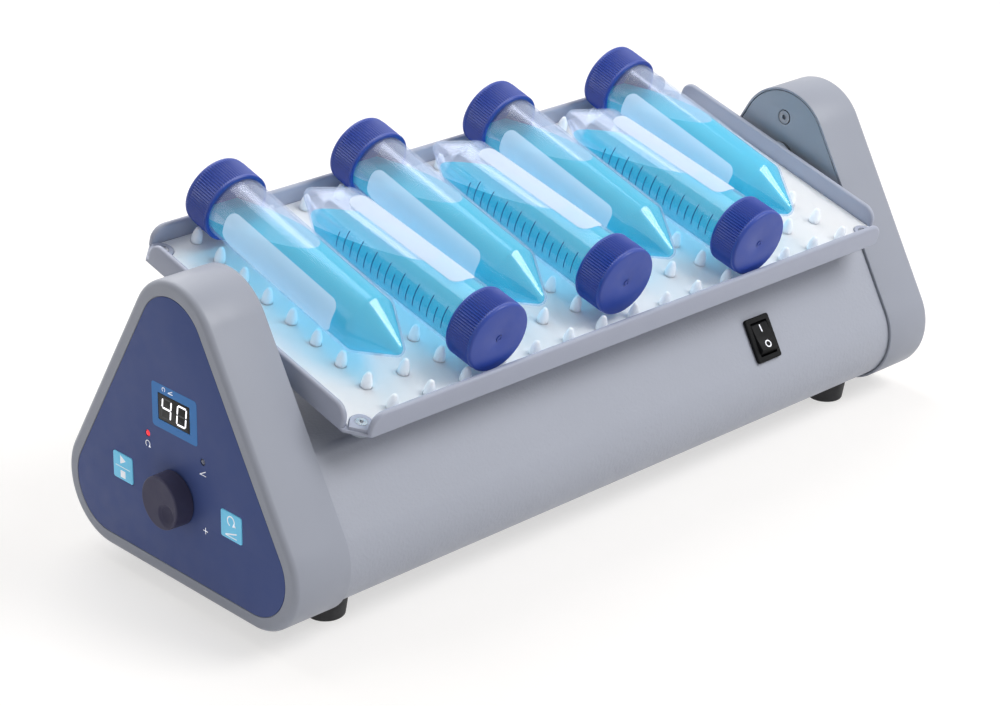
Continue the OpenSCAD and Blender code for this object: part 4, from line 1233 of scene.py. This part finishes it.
def tube_cap(i):
    """Screw cap with fine ribs that stop short of a smooth rim at each end."""
    r, round_r, d = CAP_R, 1.1, RIB_D
    rings = [(1.6, 0.05), (1.75, 0), (r - 1.3, 0)]
    for a in map(math.radians, (22, 45, 68, 90)):
        rings.append((r - 1.3 + round_r * math.sin(a), round_r - round_r * math.cos(a)))
    rings += [(r - 0.2, 1.9), (r - 0.1, 2.5, d), (r, 3.0, d), (r, CAP_H - 1.9, d)]
    rings += [(r - 0.1, CAP_H - 1.5, d * 0.4), (r, CAP_H - 1.3), (r, CAP_H - 0.4)]
    rings += [(r - 0.35, CAP_H), (TUBE_R + 0.25, CAP_H)]
    rings += [(TUBE_R - 0.2, CAP_H - 0.6), (TUBE_R - 0.2, 2.0)]
    b = Build()
    made = b.rings([cap_ring(*ring) for ring in rings])
    b.fan(made[0], b.add([(0, 0, 0.05)])[0])
    b.fill(made[-1])
    # Small ring mark of the mould gate in the middle of the face
    gate = b.rings([cap_ring(*ring) for ring in ((1.6, 0.05), (1.5, -0.2), (1, -0.2), (0.9, 0.05))])
    b.band(gate[-1], gate[0])
    settle_tube(i, tube_piece(i, b, "screw_cap", "cap", 38), "cap_plastic", "tube_cap")


def level_point(i):
    """Point of the level surface in tube i, in metres."""
    s, d = TUBE_SIDES[i], LEVEL_AT[i]
    a = math.radians(TUBE_ANGLE)
    top = TUBE_R - TUBE_WALL
    v = s * (CAP_FACE[i] - d * math.cos(a) + top * math.sin(a))
    n = axis_n(CAP_FACE[i]) - d * math.sin(a) + top * math.cos(a)
    return TRAY_FRAME @ Vector((0, v * MM, n * MM))


def tube_liquid(i):
    """Filling of tube i, cut off at its level surface."""
    outline = tube_outline(TUBE_WALL - 0.02, 6)
    start = 2.3
    outline[0] = (outline[0][0], start)
    made = tube_piece(i, lathe([(0, start)] + outline), "fill", "liquid")
    work = bmesh.new()
    work.from_mesh(made.data)
    section = bmesh.ops.bisect_plane(work, geom=[*work.verts, *work.edges, *work.faces],
                                     plane_co=level_point(i), plane_no=(0, 0, 1),
                                     clear_outer=True)["geom_cut"]
    edges = [e for e in section if isinstance(e, bmesh.types.BMEdge)]
    bmesh.ops.contextual_create(work, geom=edges)
    bmesh.ops.recalc_face_normals(work, faces=work.faces)
    work.to_mesh(made.data)
    work.free()
    smooth(made.data, 13)
    settle_tube(i, made, "liquid", "tube_liquid")


def wrapped_strip(b, a0, a1, z0, z1, thick, corner=0.0):
    """Print on the tube between two angles and two distances, with corners of radius corner."""
    steps = max(2, int(abs(a1 - a0) / 5))
    rows, quarter = (14, 9) if corner else (1, 1)
    reach = math.degrees(corner / radius_at((z0 + z1) / 2))
    angles = [a0 + reach * (1 - math.cos(math.radians(90 * k / 8))) for k in range(quarter)]
    inner = [a0 + reach + (a1 - a0 - 2 * reach) * k / steps for k in range(1, steps)]
    angles += inner + [a0 + a1 - a for a in reversed(angles)]
    rings = []
    for a in angles:
        # Near a corner both ends of the section draw in
        edge = min(a - a0, a1 - a)
        short = 0
        if corner and edge < reach:
            short = corner - math.sqrt(max(0, corner ** 2 - (corner * (1 - edge / reach)) ** 2))
        low, high = z0 + short, z1 - short
        line = [low + (high - low) * k / rows for k in range(rows + 1)]
        under = [(radius_at(z) + PRINT_LIFT, z) for z in line]
        over = [(r + thick, z) for r, z in reversed(under)]
        turn = math.radians(a)
        rings.append([(r * math.cos(turn), r * math.sin(turn), z) for r, z in under + over])
    made = b.rings(rings)
    for end in (made[0], made[-1]):
        b.band(end[:rows + 1], end[:rows:-1], closed=False)


def tube_prints(i):
    """White writing patch on one side, graduation lines on the other."""
    s = TUBE_SIDES[i]
    b = Build()
    wrapped_strip(b, *PATCH[s], *PATCH_AT, 0.05, corner=5)
    settle_tube(i, tube_piece(i, b, "patch", "patch" if s > 0 else "patch_dense"), "clear_tube")
    b = Build()
    start = SCALE[s]
    for k in range(SCALE_LINES):
        z = SCALE_AT + k * SCALE_STEP
        width = 42 if k % 2 == 0 else 30
        wrapped_strip(b, start, start + width, z, z + LINE_W, 0.03)
    settle_tube(i, tube_piece(i, b, "scale", "scale"), "clear_tube")


for index in range(TUBES):
    tube_shell(index)
    tube_cap(index)
    tube_liquid(index)
    tube_prints(index)

# ---- finishes of the CAD nodes that stay ----

CAD_FINISH = {
    "screw": ("end_plate_screws", "chassis_screws", "motor_screws", "retaining_ring"),
    "steel": ("tray_corner_screws", "encoder_shaft", "motor_shaft", "left_trunnion",
              "right_trunnion", "inlet_pins"),
    "zinc": ("base_plate", "encoder_body"),
    "black": ("display_module", "power_inlet", "home_sensor"),
    "board": ("control_board", "power_board"),
    "motor": ("stepper_motor",),
    "brass": ("motor_pinion", "sector_gear"),
    "bush": ("axle_bushes",),
    "plate": ("tray_brackets",),
}
for finish, names in CAD_FINISH.items():
    for node in names:
        NODES[node].data.materials.clear()
        NODES[node].data.materials.append(MATERIALS[finish])

# ---- camera, floor and light ----


# Metres, and degrees of yaw, pitch and roll
CAMERA_AT = (-0.8482, -0.8403, 0.5876)
CAMERA_TURN = (-44.63, 23.95, 1.35)


def camera():
    """Long lens in front of the panel's corner, a little above the object."""
    data = bpy.data.cameras.new("camera")
    data.sensor_width = 36.0
    data.lens = 96.6
    data.clip_end = 20
    made = bpy.data.objects.new("camera", data)
    yaw, pitch, roll = CAMERA_TURN
    turn = turned(yaw, "Z") @ turned(90 - pitch) @ turned(roll, "Z")
    made.matrix_world = Matrix.Translation(CAMERA_AT) @ turn
    bpy.context.scene.collection.objects.link(made)
    bpy.context.scene.camera = made


def floor():
    """Pale floor that reads as white to seen rays and keeps the object's shadow."""
    # To the light it bounces it has its own pale colour. Seen, a darker colour takes the shadow
    # and a glow lifts the rest to white; far from the object only the white glow is left.
    pale, shaded = (0.82, 0.82, 0.82, 1), (0.47, 0.455, 0.445, 1)
    near_glow, far_glow = 0.59, 1.0
    fade_from, fade_to = 0.6, 1.5
    f = Finish("floor", pale, 0.9, Specular_IOR_Level=0.0)
    seen = f.seen_rays()
    away = f.node("ShaderNodeVectorMath", {0: f.place}, operation="LENGTH").outputs["Value"]
    far = f.span(away, 0, 1, fade_from, fade_to)
    near = f.mix(seen, pale, shaded)
    f.set("Base Color", f.mix(f.math("MULTIPLY", far, seen), near, (0, 0, 0, 1)))
    strength = f.math("MULTIPLY", f.span(far, near_glow, far_glow), seen)
    f.glow((1, 0.995, 0.985, 1), strength)
    MATERIALS["floor"] = f.material
    b = Build()
    size = 6000
    b.fill(b.add([(sx * size, sy * size, 0) for sx, sy in CORNERS]))
    b.object("floor", "floor")


def world():
    """White backdrop to seen rays, dimmer where it only lights the object."""
    studio = bpy.data.worlds.new("studio")
    bpy.context.scene.world = studio
    studio.use_nodes = True
    background = studio.node_tree.nodes["Background"].inputs
    background["Color"].default_value = (1, 1, 1, 1)
    shading = Shading(studio.node_tree)
    shading.put(background["Strength"], shading.span(shading.seen_rays(), 0.34, 1.0))


def soft_box(name, place, size, power):
    """White area lamp aimed at the middle of the object; metres and watts."""
    data = bpy.data.lights.new(name, "AREA")
    data.shape = "RECTANGLE"
    data.size, data.size_y = size
    data.energy = power
    made = bpy.data.objects.new(name, data)
    made.location = place
    middle = Vector((0, 0, 0.08))
    made.rotation_euler = (Vector(place) - middle).to_track_quat("Z", "Y").to_euler()
    bpy.context.scene.collection.objects.link(made)


camera()
floor()
world()
soft_box("overhead", (0.1, 0.72, 0.97), (0.95, 1.4), 9.6)
soft_box("front", (0.85, -1.2, 1.7), (1.1, 1.1), 30)
soft_box("left", (-1.5, 0.7, 0.7), (0.9, 0.9), 1.1)

bpy.context.scene.view_settings.view_transform = "Standard"
